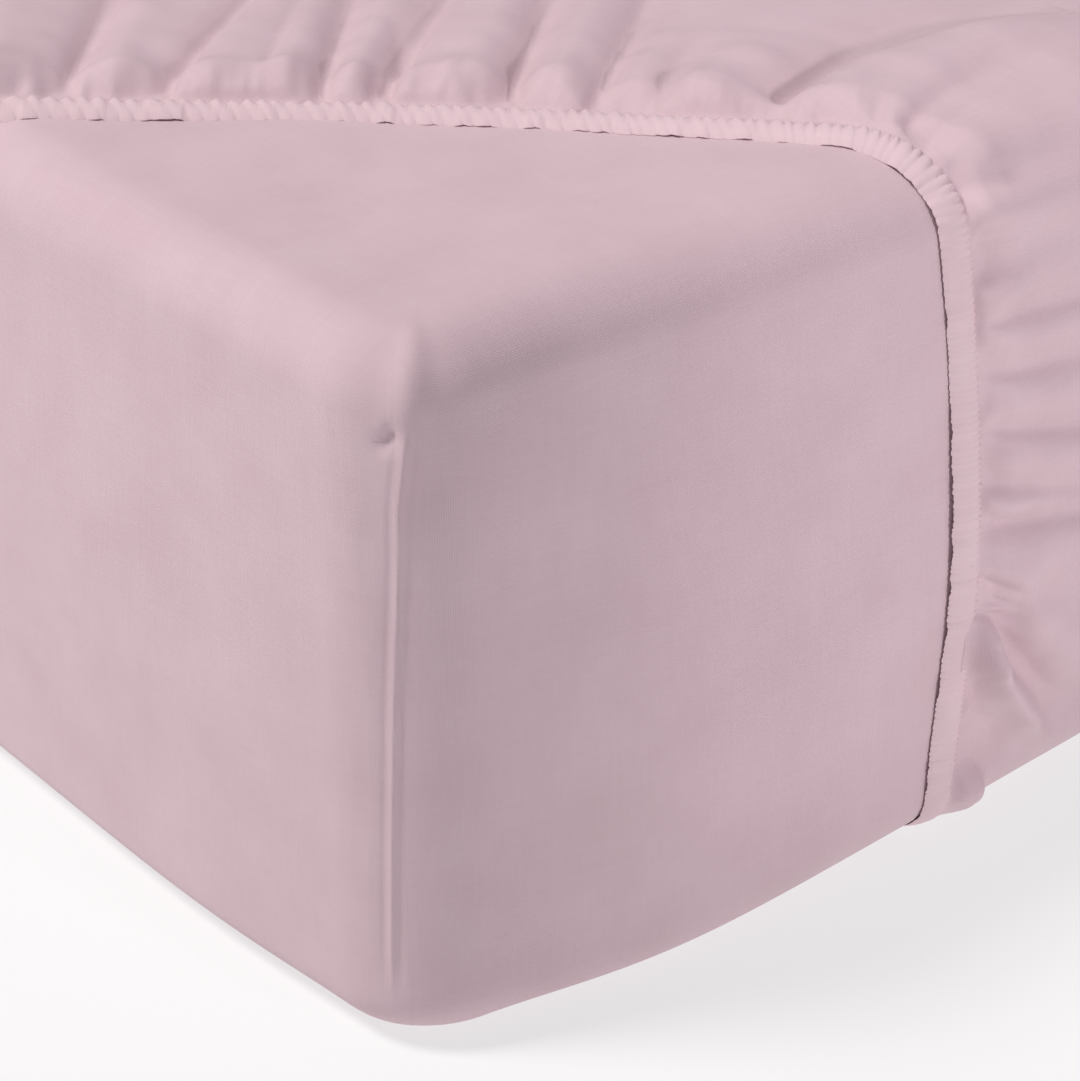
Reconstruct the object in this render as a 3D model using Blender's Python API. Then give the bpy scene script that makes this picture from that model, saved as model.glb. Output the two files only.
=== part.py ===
"""Fitted sheet on a mattress, with one corner of the sheet sprung off.

A deep single mattress lies in its plain cover.  The fitted sheet goes over it, but its elastic
hem has slipped off the near corner: there it crosses the top of the mattress on the slant, drops
straight down both sides and turns underneath, and the slack cloth behind it is gathered into
folds.  At the other three corners the sheet is on, with its hem tucked under.

Frame: metres, +Z up, the floor at Z = 0.  The short foot side faces -Y, the long sides face -X
and +X, and the bare corner is the one at -X, -Y.

The cloth is laid out on a flat pattern: a point inside the mattress outline is on the top, and a
point outside it lies that far down the side, round the bottom edge and on underneath.
"""

import math

import bmesh
import bpy
import numpy as np

# ---- mattress -------------------------------------------------------------------------------
MATTRESS_DEPTH = 0.320          # underside to top
HALF_WIDTH = 0.440              # to the top edge's tangent line; the sides belly out past it
HALF_LENGTH = 0.975
PLAN_RADIUS = 0.042             # upright corners, seen from above
TOP_RADIUS_CORNER = 0.026       # rolled top edge: tight at the corners, softer between them
TOP_RADIUS_FOOT = 0.040
TOP_RADIUS_LONG = 0.031
TOP_RADIUS_REACH = 0.200
BOTTOM_RADIUS = 0.026
BELLY_FOOT = 0.027              # how far the sides stand out below the top edge
BELLY_LONG = 0.011
BELLY_REACH = 0.090             # distance from a corner in which the belly grows
BELLY_DROP = 0.70               # share of the depth in which it grows downwards

# ---- sheet ----------------------------------------------------------------------------------
CLOTH = 0.0020                  # cloth with the air between its gathers, as one sheet
HEM_WIDTH = 0.0155              # elastic run in a turned hem
HEM_THICK = 0.0045              # hem where it is free, two layers and the elastic
TOUCH = 0.0003                  # gap between things that touch
EDGE_CLEAR = 0.0026             # sheet to mattress on the sides and round the edges
EDGE_RAMP = 0.080               # the sheet eases off the top over this far before an edge
BOTTOM_CLEAR = 0.0016           # more where the sprung hem turns under the bottom edge
TUCK = 0.080                    # how far the hem lies in from the bottom edge
FLAT_INSET = 0.120              # from here in, the fitted sheet is plain and flat
FLAT_CORNER = 0.060
FLAT_BEND = (0.420, 0.620)      # it gives way to the folds round the bare corner

# The free edge of the hem round the sprung corner, on the flat pattern, measured from the bare
# corner along the foot side and along the long side.  Minus is down that side.
SPRUNG_HEM = (
    # along foot, along long side
    (-0.401, 0.490),
    (-0.396, 0.385),
    (-0.364, 0.336),
    (-0.310, 0.324),
    (-0.230, 0.319),
    (-0.140, 0.313),
    (-0.060, 0.304),
    (-0.010, 0.293),
    (0.022, 0.277),
    (0.050, 0.2532),
    (0.112, 0.1994),
    (0.170, 0.1403),
    (0.2246, 0.0792),
    (0.2502, 0.0475),
    (0.2680, 0.0225),
    (0.2795, -0.0020),
    (0.2835, -0.0300),
    (0.2845, -0.0700),
    (0.2828, -0.1140),
    (0.2790, -0.1700),
    (0.2745, -0.2250),
    (0.2720, -0.2800),
    (0.2740, -0.3150),
    (0.2850, -0.3500),
    (0.3120, -0.3790),
    (0.3650, -0.3950),
    (0.4500, -0.3985),
)
SPRUNG_END_FOOT = 0.600         # from here on the hem is tucked as it should be
SPRUNG_END_LONG = 0.700

# Slack folds behind the sprung hem.  A fold starts at a place along the hem, counted from where
# the hem crosses the top edge of the foot side: plus down that side, minus across the top.  It
# runs square to the hem, or leans by so much along it for each step away.  A ridge has a height
# above the cloth's general fullness, and a hollow between two ridges a minus height.
FOLDS = (
    # place, lean, width, start, length, height
    (-0.640, -0.10, 0.018, 0.010, 0.110, 0.0045),
    (-0.590, 0.05, 0.016, 0.010, 0.090, 0.0050),
    (-0.545, 0.10, 0.014, 0.010, 0.120, 0.0040),
    (-0.495, -0.05, 0.016, 0.010, 0.100, 0.0050),
    (-0.450, -0.10, 0.013, 0.010, 0.130, 0.0045),
    (-0.425, -0.10, 0.010, 0.010, 0.120, -0.0040),
    (-0.395, -0.15, 0.014, 0.010, 0.170, 0.0060),
    (-0.361, 0.00, 0.009, 0.012, 0.180, -0.0070),
    (-0.342, 0.00, 0.010, 0.012, 0.190, 0.0060),
    (-0.322, 0.22, 0.008, 0.012, 0.170, -0.0060),
    (-0.296, 0.05, 0.012, 0.012, 0.180, 0.0050),
    (-0.267, 0.00, 0.009, 0.012, 0.160, 0.0045),
    (-0.254, 0.00, 0.007, 0.012, 0.170, -0.0050),
    (-0.241, 0.03, 0.007, 0.014, 0.120, 0.0035),
    (-0.229, 0.08, 0.008, 0.014, 0.190, -0.0060),
    (-0.196, 0.03, 0.013, 0.012, 0.180, 0.0065),
    (-0.176, 0.03, 0.008, 0.016, 0.190, -0.0060),
    (-0.158, 0.02, 0.009, 0.012, 0.150, 0.0050),
    (-0.142, 0.04, 0.007, 0.014, 0.180, -0.0050),
    (-0.122, 0.18, 0.006, 0.010, 0.080, -0.0035),
    (-0.098, 0.10, 0.013, 0.012, 0.100, 0.0060),
    (-0.076, 0.35, 0.010, 0.024, 0.200, -0.0075),
    (-0.040, 0.20, 0.013, 0.014, 0.190, 0.0060),
    (-0.020, 0.15, 0.007, 0.024, 0.160, -0.0040),
    (-0.003, 0.10, 0.009, 0.012, 0.140, 0.0030),
    (0.020, 0.00, 0.010, 0.016, 0.140, 0.0030),
    (0.045, 0.06, 0.010, 0.012, 0.110, 0.0020),
    (0.056, 0.08, 0.008, 0.010, 0.120, -0.0035),
    (0.068, 0.08, 0.008, 0.008, 0.110, 0.0025),
    (0.079, 0.10, 0.008, 0.010, 0.110, -0.0035),
    (0.090, 0.15, 0.008, 0.008, 0.120, 0.0025),
    (0.100, 0.25, 0.009, 0.008, 0.110, -0.0045),
    (0.113, 0.24, 0.009, 0.008, 0.120, 0.0030),
    (0.124, 0.24, 0.008, 0.008, 0.090, -0.0045),
    (0.133, 0.24, 0.008, 0.008, 0.090, 0.0050),
    (0.143, 0.16, 0.009, 0.008, 0.130, -0.0060),
    (0.158, 0.16, 0.010, 0.010, 0.120, 0.0045),
    (0.174, 0.40, 0.008, 0.008, 0.050, -0.0035),
    (0.150, 0.85, 0.011, 0.030, 0.130, 0.0055),
    (0.168, 0.83, 0.011, 0.014, 0.120, -0.0060),
    (0.186, 1.30, 0.014, 0.014, 0.120, 0.0100),
    (0.226, 0.90, 0.012, 0.008, 0.050, -0.0050),
    (0.290, 0.20, 0.016, 0.010, 0.110, 0.0045),
    (0.345, 0.10, 0.016, 0.010, 0.090, 0.0040),
)
FOLD_GROWTH = 0.030             # a fold rises over this far from its start
FOLD_HOLD = 0.35                # and keeps its height for this share of its length
FOLD_SPREAD = 0.9               # how much of its width it gains by its end
SLACK = 0.0050                  # general fullness of the gathered cloth
SLACK_LENGTH = 0.220
HEM_LIFT = 0.0015               # the free edge of the hem stands off the foot side
HEM_LIFT_RAMP = 0.060           # along the hem, below the top edge
PRESSED = 0.62                  # share of the bottom edge past which folds and hem are pressed flat

# ---- mesh steps -----------------------------------------------------------------------------
COLUMN_STEPS = (                # between columns of the sheet, along the sprung hem
    # up to this place, step
    (-0.800, 0.0550),
    (-0.420, 0.0200),
    (0.040, 0.0120),
    (0.290, 0.0095),
    (0.400, 0.0160),
    (9.000, 0.0550),
)
PATH_BEND = 0.080               # a column leaves the hem square to it, then turns to the middle
ROWS = 14                       # past the hem; shared out by the steps below
STEP_FLAT = 0.100
STEP_FOLDED = 0.018
STEP_EDGE = 0.013
FOLDED_REACH = 0.160
SPRUNG_FADE = 0.360             # along the hem, from folded columns to plain ones
HEM_STITCHED = 0.003            # width of the step from the hem down to the single cloth
EDGE_BLEND = 0.010              # over which the steps shrink before a rounded edge
ROW_PROBES = 400                # samples of a column from which its rows are shared out
PATH_SAMPLES = 60
HEM_SAMPLES = 12                # per span between the hem's points
NEXT_COLUMN = 0.040             # least gap from the last sprung column to the first plain one
CORNER_STEPS = 5
MATTRESS_CORNER_STEPS = 6
SIDE_STEPS = (0.030, 0.070, 0.120, 0.185, 0.270, 0.380)
SIDE_STEP_MIDDLE = 0.160

QUARTER_TURN = math.pi / 2
TINY = 1e-6
FITTED = 9.0                    # place given to columns away from the sprung hem
NEAR_CORNER = np.array((-HALF_WIDTH, -HALF_LENGTH))
FLOOR_GAP = CLOTH + TOUCH       # the mattress lies on the sheet's tucked border
HALF_SPINE = HALF_LENGTH - HALF_WIDTH


def smooth_step(value):
    value = np.clip(value, 0.0, 1.0)
    return value * value * (3.0 - 2.0 * value)


# ---- the mattress surface -------------------------------------------------------------------
def outline_at(x, y):
    """The outline point nearest to a pattern point, with its outward normal and the distance."""
    half_x = HALF_WIDTH - PLAN_RADIUS
    half_y = HALF_LENGTH - PLAN_RADIUS
    core_x = np.clip(x, -half_x, half_x)
    core_y = np.clip(y, -half_y, half_y)
    gap_x = x - core_x
    gap_y = y - core_y
    gap = np.hypot(gap_x, gap_y)
    inside = gap < TINY
    gap_or_one = np.where(inside, 1.0, gap)
    normal_x = np.where(inside, 0.0, gap_x / gap_or_one)
    normal_y = np.where(inside, 0.0, gap_y / gap_or_one)
    inward = np.minimum(half_x - np.abs(x), half_y - np.abs(y))
    past = np.where(inside, -inward, gap) - PLAN_RADIUS
    return core_x, core_y, normal_x, normal_y, past


def side_form(core_x, core_y, normal_x, normal_y):
    """Belly and top edge radius at an outline point."""
    on_foot = np.abs(normal_y) >= np.abs(normal_x)
    turn = np.abs(np.arctan2(np.abs(normal_y), np.maximum(np.abs(normal_x), TINY)) - math.pi / 4)
    along = np.where(on_foot,
                     HALF_WIDTH - PLAN_RADIUS - np.abs(core_x),
                     HALF_LENGTH - PLAN_RADIUS - np.abs(core_y))
    from_corner = PLAN_RADIUS * turn + along
    belly_grown = 1.0 - np.exp(-(from_corner / BELLY_REACH) ** 2)
    belly = np.where(on_foot, BELLY_FOOT, BELLY_LONG) * belly_grown
    radius_grown = 1.0 - np.exp(-(from_corner / TOP_RADIUS_REACH) ** 2)
    radius_between = np.where(on_foot, TOP_RADIUS_FOOT, TOP_RADIUS_LONG)
    radius = TOP_RADIUS_CORNER + (radius_between - TOP_RADIUS_CORNER) * radius_grown
    return belly, radius


def side_height(radius):
    return MATTRESS_DEPTH - radius - BOTTOM_RADIUS


def bottom_reach(radius):
    """Pattern distance from the outline to where the underside starts."""
    return -radius + (radius + BOTTOM_RADIUS) * QUARTER_TURN + side_height(radius)


def drape(x, y):
    """Pattern points on the mattress: position, outward normal, and how far past the top."""
    core_x, core_y, normal_x, normal_y, past = outline_at(x, y)
    belly, radius = side_form(core_x, core_y, normal_x, normal_y)
    run = past + radius
    on_top = run <= 0.0

    top_turn = np.clip(run / radius, 0.0, QUARTER_TURN)
    down = run - radius * QUARTER_TURN
    bottom_turn = np.clip((down - side_height(radius)) / BOTTOM_RADIUS, 0.0, QUARTER_TURN)
    under = np.maximum(down - side_height(radius) - BOTTOM_RADIUS * QUARTER_TURN, 0.0)

    inset = radius * (1.0 - np.sin(top_turn)) + BOTTOM_RADIUS * (1.0 - np.cos(bottom_turn))
    height = (MATTRESS_DEPTH - radius * (1.0 - np.cos(top_turn))
              - np.clip(down, 0.0, side_height(radius)) - BOTTOM_RADIUS * np.sin(bottom_turn))
    out = PLAN_RADIUS - inset + belly * smooth_step(
        (MATTRESS_DEPTH - height) / (BELLY_DROP * MATTRESS_DEPTH))
    level = np.sin(top_turn) * np.cos(bottom_turn)
    upright = np.cos(top_turn) - np.sin(bottom_turn)

    side_x = core_x + normal_x * out
    side_y = core_y + normal_y * out
    inward_x = -side_x
    inward_y = np.clip(side_y, -HALF_SPINE, HALF_SPINE) - side_y
    inward = np.maximum(np.hypot(inward_x, inward_y), TINY)
    side_x = side_x + inward_x / inward * under
    side_y = side_y + inward_y / inward * under

    place = np.stack((np.where(on_top, x, side_x),
                      np.where(on_top, y, side_y),
                      FLOOR_GAP + np.where(on_top, MATTRESS_DEPTH, height)), axis=-1)
    normal = np.stack((np.where(on_top, 0.0, normal_x * level),
                       np.where(on_top, 0.0, normal_y * level),
                       np.where(on_top, 1.0, upright)), axis=-1)
    return place, normal, run, bottom_turn / QUARTER_TURN


# ---- stations round the mattress ------------------------------------------------------------
def graded(length):
    """Distances along a side of this length: close together near its ends."""
    near = [step for step in SIDE_STEPS if step < 0.45 * length]
    gap = length - 2 * near[-1]
    count = max(1, round(gap / SIDE_STEP_MIDDLE))
    middle = [near[-1] + gap * (i + 1) / count for i in range(count - 1)]
    return [0.0] + near + middle + [length - step for step in reversed(near)] + [length]


def outline_stations(corner_steps):
    """Core points and normals once round the outline, anticlockwise from the bare corner's arc."""
    half_x = HALF_WIDTH - PLAN_RADIUS
    half_y = HALF_LENGTH - PLAN_RADIUS
    corners = ((-half_x, -half_y), (half_x, -half_y), (half_x, half_y), (-half_x, half_y))
    stations = []
    for index, corner in enumerate(corners):
        start_angle = math.pi + index * QUARTER_TURN
        for step in range(corner_steps):
            angle = start_angle + QUARTER_TURN * step / corner_steps
            stations.append((corner[0], corner[1], math.cos(angle), math.sin(angle)))
        after = corners[(index + 1) % 4]
        length = math.hypot(after[0] - corner[0], after[1] - corner[1])
        angle = start_angle + QUARTER_TURN
        for along in graded(length)[:-1]:
            share = along / length
            stations.append((corner[0] + (after[0] - corner[0]) * share,
                             corner[1] + (after[1] - corner[1]) * share,
                             math.cos(angle), math.sin(angle)))
    return np.array(stations)


def smooth_line(points, samples_per_span):
    """A Catmull-Rom curve through hand-picked points."""
    points = np.array(points)
    padded = np.vstack((2 * points[0] - points[1], points, 2 * points[-1] - points[-2]))
    curve = []
    for a, b, c, d in zip(padded, padded[1:], padded[2:], padded[3:]):
        for step in range(samples_per_span):
            t = step / samples_per_span
            curve.append(0.5 * (2 * b + (c - a) * t + (2 * a - 5 * b + 4 * c - d) * t ** 2
                                + (3 * b - a - 3 * c + d) * t ** 3))
    return np.array(curve + [points[-1]])


def lengths_along(line):
    return np.concatenate(((0.0,), np.cumsum(np.hypot(*np.diff(line, axis=0).T))))


def tucked_hem(core_x, core_y, normal_x, normal_y):
    """Pattern point of the hem's edge where the sheet is on as it should be."""
    radius = side_form(core_x, core_y, normal_x, normal_y)[1]
    reach = PLAN_RADIUS + bottom_reach(radius) + TUCK
    return np.stack((core_x + normal_x * reach, core_y + normal_y * reach), axis=-1)


def flat_line(core_x, core_y, normal_x, normal_y):
    """Point on the rounded rectangle within which the fitted sheet is flat."""
    shrink_x = (HALF_WIDTH - FLAT_INSET - FLAT_CORNER) / (HALF_WIDTH - PLAN_RADIUS)
    shrink_y = (HALF_LENGTH - FLAT_INSET - FLAT_CORNER) / (HALF_LENGTH - PLAN_RADIUS)
    return np.stack((core_x * shrink_x + normal_x * FLAT_CORNER,
                     core_y * shrink_y + normal_y * FLAT_CORNER), axis=-1)


def sprung_columns():
    """Hem points, their normals, their inner ends and their places along the sprung hem."""
    foot_end = (NEAR_CORNER[0] + SPRUNG_END_FOOT, -(HALF_LENGTH - PLAN_RADIUS), 0.0, -1.0)
    long_end = (-(HALF_WIDTH - PLAN_RADIUS), NEAR_CORNER[1] + SPRUNG_END_LONG, -1.0, 0.0)
    ends = [tucked_hem(*(np.array(value) for value in end)) for end in (long_end, foot_end)]
    picked = [NEAR_CORNER + point for point in SPRUNG_HEM]
    line = smooth_line([ends[0]] + picked + [ends[1]], HEM_SAMPLES)
    length = lengths_along(line)
    crossing = np.where((line[:-1, 1] >= -HALF_LENGTH) & (line[1:, 1] < -HALF_LENGTH))[0][0]
    place = length - length[crossing]

    steps = [place[0]]
    while steps[-1] < place[-1]:
        steps.append(steps[-1] + next(step for limit, step in COLUMN_STEPS if steps[-1] < limit))
    places = np.array(steps)
    places = place[0] + (places - places[0]) * (place[-1] - place[0]) / (places[-1] - places[0])

    hem = np.stack((np.interp(places, place, line[:, 0]), np.interp(places, place, line[:, 1])), -1)
    slope = np.gradient(line, place, axis=0)
    along = np.stack((np.interp(places, place, slope[:, 0]),
                      np.interp(places, place, slope[:, 1])), -1)
    into_cloth = np.stack((-along[:, 1], along[:, 0]), -1)
    into_cloth /= np.linalg.norm(into_cloth, axis=1)[:, None]

    inner_ends = [flat_line(*(np.array(value) for value in end)) for end in (long_end, foot_end)]
    share = ((places - places[0]) / (places[-1] - places[0]))[:, None]
    bend = NEAR_CORNER + FLAT_BEND
    inner = ((1 - share) ** 2 * inner_ends[0] + 2 * share * (1 - share) * bend
             + share ** 2 * inner_ends[1])
    return hem, into_cloth, inner, places


# ---- the sheet ------------------------------------------------------------------------------
def square_to_hem(x, y):
    """Place along the sprung hem and distance from it of pattern points, measured square to it."""
    hem, into_cloth, _, places = sprung_columns()
    gap = np.stack((x, y), -1)[..., None, :] - hem
    nearest = np.argmin((gap ** 2).sum(-1), axis=-1)
    gap = np.take_along_axis(gap, nearest[..., None, None], axis=-2)[..., 0, :]
    inward = into_cloth[nearest]
    distance = (gap * inward).sum(-1)
    past_column = gap[..., 0] * inward[..., 1] - gap[..., 1] * inward[..., 0]
    return places[nearest] + past_column, distance


def fold_height(place, distance):
    """How far the slack cloth stands off, by place along the hem and distance from it."""
    into = smooth_step((distance - HEM_WIDTH) / FOLD_GROWTH)
    height = SLACK * into * (1.0 - smooth_step(distance / SLACK_LENGTH))
    for start_place, lean, width, start, length, rise in FOLDS:
        spread = width * (1.0 + FOLD_SPREAD * distance / length)
        across = (place - start_place - lean * distance) / spread
        grown = smooth_step((distance - start) / FOLD_GROWTH)
        faded = 1.0 - smooth_step((distance / length - FOLD_HOLD) / (1.0 - FOLD_HOLD))
        height = height + rise * np.exp(-across ** 2) * grown * faded
    return np.maximum(height, 0.0)


def share_rows(path, far, folded):
    """Row distances along a column: close together in the folds and round the edges."""
    start = HEM_WIDTH + HEM_STITCHED
    probe = np.linspace(start, far[-1], ROW_PROBES)
    run, tucked = drape(np.interp(probe, far, path[:, 0]), np.interp(probe, far, path[:, 1]))[2:]
    edge_end = TOP_RADIUS_FOOT * QUARTER_TURN
    on_top_edge = (smooth_step(1.0 + run / EDGE_BLEND)
                   * (1.0 - smooth_step((run - edge_end) / EDGE_BLEND)))
    on_bottom_edge = (tucked > 0.0) & (tucked < 1.0)
    need = (1.0 / STEP_FLAT + np.maximum(on_top_edge, on_bottom_edge) / STEP_EDGE
            + folded * np.exp(-(probe / FOLDED_REACH) ** 2) / STEP_FOLDED)
    total = np.concatenate(((0.0,), np.cumsum(0.5 * (need[1:] + need[:-1]) * np.diff(probe))))
    shared = np.interp(np.linspace(0.0, total[-1], ROWS + 1), total, probe)
    return np.concatenate(((0.0, HEM_WIDTH / 2, HEM_WIDTH), shared))


def sheet_grid():
    """Pattern points, places and distances of the sheet, one column per station."""
    hem, into_cloth, inner, places = sprung_columns()
    share = np.linspace(0.0, 1.0, PATH_SAMPLES)[:, None]
    columns = []
    for index, place in enumerate(places):
        from_end = min(place - places[0], places[-1] - place)
        sprung = float(smooth_step(from_end / SPRUNG_FADE))
        bend = hem[index] + into_cloth[index] * PATH_BEND * sprung
        path = ((1 - share) ** 2 * hem[index] + 2 * share * (1 - share) * bend
                + share ** 2 * inner[index])
        columns.append((path, place, sprung))

    stations = outline_stations(CORNER_STEPS)
    faces_foot = stations[:, 3] < TINY - 1.0
    faces_long = stations[:, 2] < TINY - 1.0
    on_foot = faces_foot & (stations[:, 0] > NEAR_CORNER[0] + SPRUNG_END_FOOT + NEXT_COLUMN)
    on_long = faces_long & (stations[:, 1] > NEAR_CORNER[1] + SPRUNG_END_LONG + NEXT_COLUMN)
    first = np.where(on_foot)[0][0]
    last = np.where(on_long)[0][-1]
    for station in stations[first:last + 1]:
        core = [np.array(value) for value in station]
        inset = PLAN_RADIUS - side_form(*core)[1]
        edge = np.stack((core[0] + core[2] * inset, core[1] + core[3] * inset), axis=-1)
        path = np.array((tucked_hem(*core), edge, flat_line(*core)))
        columns.append((path, FITTED, 0.0))

    pattern = []
    distance = []
    place = []
    for path, spot, folded in columns:
        far = lengths_along(path)
        rows = share_rows(path, far, folded)
        pattern.append(np.stack((np.interp(rows, far, path[:, 0]),
                                 np.interp(rows, far, path[:, 1])), -1))
        distance.append(rows)
        place.append(np.full(len(rows), spot))
    return np.array(pattern), np.array(distance), np.array(place)


def sheet_layers(pattern, distance, place):
    """The inner and outer face of the sheet over the pattern points."""
    on_mattress, normal, _, tucked = drape(pattern[..., 0], pattern[..., 1])
    free = 1.0 - smooth_step(tucked / PRESSED)
    past = outline_at(pattern[..., 0], pattern[..., 1])[4]
    near_edge = smooth_step(1.0 + (past + TOP_RADIUS_CORNER) / EDGE_RAMP)
    clear = TOUCH + (EDGE_CLEAR - TOUCH) * near_edge
    clear = clear + fold_height(*square_to_hem(pattern[..., 0], pattern[..., 1])) * free
    sprung = place < FITTED
    lifted = smooth_step(place / HEM_LIFT_RAMP) * (1.0 - smooth_step(distance / HEM_WIDTH))
    clear = clear + HEM_LIFT * lifted * free * sprung
    clear = clear + BOTTOM_CLEAR * 4 * tucked * (1.0 - tucked) * sprung
    hem_share = smooth_step((HEM_WIDTH + HEM_STITCHED - distance) / HEM_STITCHED)
    thick = CLOTH + (HEM_THICK - CLOTH) * hem_share * free * sprung
    inner = on_mattress + normal * clear[..., None]
    outer = on_mattress + normal * (clear + thick)[..., None]
    under = tucked > 0.0
    inner[..., 2] = np.where(under, np.maximum(inner[..., 2], CLOTH), inner[..., 2])
    outer[..., 2] = np.where(under, np.maximum(outer[..., 2], 0.0), outer[..., 2])
    return inner, outer


# ---- objects --------------------------------------------------------------------------------
def cloth_material(name, red, green, blue, roughness):
    material = bpy.data.materials.new(name)
    material.use_nodes = True
    shader = material.node_tree.nodes["Principled BSDF"]
    shader.inputs["Base Color"].default_value = (red, green, blue, 1.0)
    shader.inputs["Roughness"].default_value = roughness
    shader.inputs["Metallic"].default_value = 0.0
    return material


def add_object(name, mesh_builder, material):
    mesh = bpy.data.meshes.new(name)
    mesh_builder.to_mesh(mesh)
    mesh_builder.free()
    mesh.materials.append(material)
    mesh.shade_smooth()
    piece = bpy.data.objects.new(name, mesh)
    bpy.context.collection.objects.link(piece)
    return piece


def loft(builder, loops, flip):
    """Quads between closed loops of vertices."""
    for lower, upper in zip(loops, loops[1:]):
        for index in range(len(lower)):
            after = (index + 1) % len(lower)
            face = (lower[index], lower[after], upper[after], upper[index])
            builder.faces.new(face[::-1] if flip else face)


def make_mattress():
    """One filled solid: flat top and underside, rolled edges, sides that belly out."""
    stations = outline_stations(MATTRESS_CORNER_STEPS)
    core = [stations[:, column] for column in range(4)]
    radius = side_form(*core)[1]
    rows = [radius * QUARTER_TURN * share for share in (0.0, 0.25, 0.5, 0.75, 1.0)]
    rows += [radius * QUARTER_TURN + side_height(radius) * share for share in (0.2, 0.4, 0.6, 0.8, 1.0)]
    rows += [radius * QUARTER_TURN + side_height(radius) + BOTTOM_RADIUS * QUARTER_TURN * share
             for share in (1 / 3, 2 / 3, 1.0)]
    builder = bmesh.new()
    loops = []
    for run in rows:
        reach = PLAN_RADIUS - radius + run + TINY
        place = drape(core[0] + core[2] * reach, core[1] + core[3] * reach)[0]
        loops.append([builder.verts.new(point) for point in place])
    loft(builder, loops, flip=True)
    builder.faces.new(loops[0])
    builder.faces.new(loops[-1][::-1])
    cover = cloth_material("mattress_cover", 0.62, 0.44, 0.46, 0.85)
    return add_object("mattress", builder, cover)


def make_sheet():
    """One closed solid of two faces a cloth's thickness apart, joined along the hem."""
    inner, outer = sheet_layers(*sheet_grid())
    builder = bmesh.new()
    loops = []
    for layer in (inner, outer):
        loops.append([[builder.verts.new(point) for point in row] for row in layer.swapaxes(0, 1)])
    inner_loops, outer_loops = loops
    loft(builder, outer_loops, flip=False)
    loft(builder, inner_loops, flip=True)
    loft(builder, (inner_loops[0], outer_loops[0]), flip=False)
    builder.faces.new(outer_loops[-1])
    builder.faces.new(inner_loops[-1][::-1])
    cloth = cloth_material("sheet_cloth", 0.66, 0.47, 0.49, 0.80)
    return add_object("fitted_sheet", builder, cloth)


for old in list(bpy.data.objects):
    bpy.data.objects.remove(old, do_unlink=True)
make_mattress()
make_sheet()
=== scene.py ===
"""A deep single mattress in a fitted sheet whose elastic hem has slipped off one corner.

Metres, +Z up, the floor at Z = 0.  The short foot side faces -Y, the long sides face -X and +X,
and the bare corner is the one at -X, -Y.  Cloth is laid out on a flat pattern: a point inside
the mattress outline is on the top, and a point outside it lies that far down the side, round the
bottom edge and on underneath.
"""

import math

import bmesh
import bpy
import numpy as np
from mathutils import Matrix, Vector


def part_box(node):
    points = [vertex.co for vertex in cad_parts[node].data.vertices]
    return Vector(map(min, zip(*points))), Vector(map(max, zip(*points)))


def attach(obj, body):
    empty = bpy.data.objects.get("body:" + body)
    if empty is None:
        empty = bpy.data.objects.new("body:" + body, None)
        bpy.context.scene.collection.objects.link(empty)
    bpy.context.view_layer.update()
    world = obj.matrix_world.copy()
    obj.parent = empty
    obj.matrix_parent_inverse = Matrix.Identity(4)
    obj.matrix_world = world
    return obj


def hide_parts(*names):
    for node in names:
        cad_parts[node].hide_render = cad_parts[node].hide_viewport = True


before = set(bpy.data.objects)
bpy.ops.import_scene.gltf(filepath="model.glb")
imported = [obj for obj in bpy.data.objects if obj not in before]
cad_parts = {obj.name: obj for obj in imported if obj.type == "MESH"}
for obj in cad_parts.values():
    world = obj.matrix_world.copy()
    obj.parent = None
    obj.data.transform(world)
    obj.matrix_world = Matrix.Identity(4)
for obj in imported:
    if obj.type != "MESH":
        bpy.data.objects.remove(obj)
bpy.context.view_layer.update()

# ---- mattress -------------------------------------------------------------------------------
# A deep foam and spring mattress in its plain cotton cover.  The cover is cut as a box and sewn
# up with one upright seam at each corner, which shows as a thin ridge under a small pucker
# where the sheet has slipped off.
low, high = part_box("mattress")
BELLY_FOOT = 0.027              # how far the sides stand out below the top edge
BELLY_LONG = 0.011
DEPTH = high.z - low.z
UNDERSIDE = low.z
HALF_WIDTH = high.x - BELLY_LONG
HALF_LENGTH = high.y - BELLY_FOOT
HALF_SPINE = HALF_LENGTH - HALF_WIDTH
PLAN_RADIUS = 0.042             # upright corners, seen from above
TOP_RADIUS_CORNER = 0.026       # rolled top edge: tight at the corners, softer between them
TOP_RADIUS_FOOT = 0.040
TOP_RADIUS_LONG = 0.031
TOP_RADIUS_REACH = 0.200
BOTTOM_RADIUS = 0.026
EDGE_RAMP = 0.080               # width of the border in which the top eases into the edge
BELLY_REACH = 0.090             # distance from a corner in which the belly grows
BELLY_DROP = 0.70               # share of the depth in which it grows downwards
QUARTER_TURN = math.pi / 2
TINY = 1e-6
NEAR_CORNER = np.array((-HALF_WIDTH, -HALF_LENGTH))


def smooth_step(value):
    """Nothing below 0, one above 1, and a smooth rise between them."""
    value = np.clip(value, 0.0, 1.0)
    return value * value * (3.0 - 2.0 * value)


def ramp(value, start, over):
    """A smooth rise from nothing at the start to one when the value has gone over by so much."""
    return smooth_step((value - start) / over)


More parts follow.
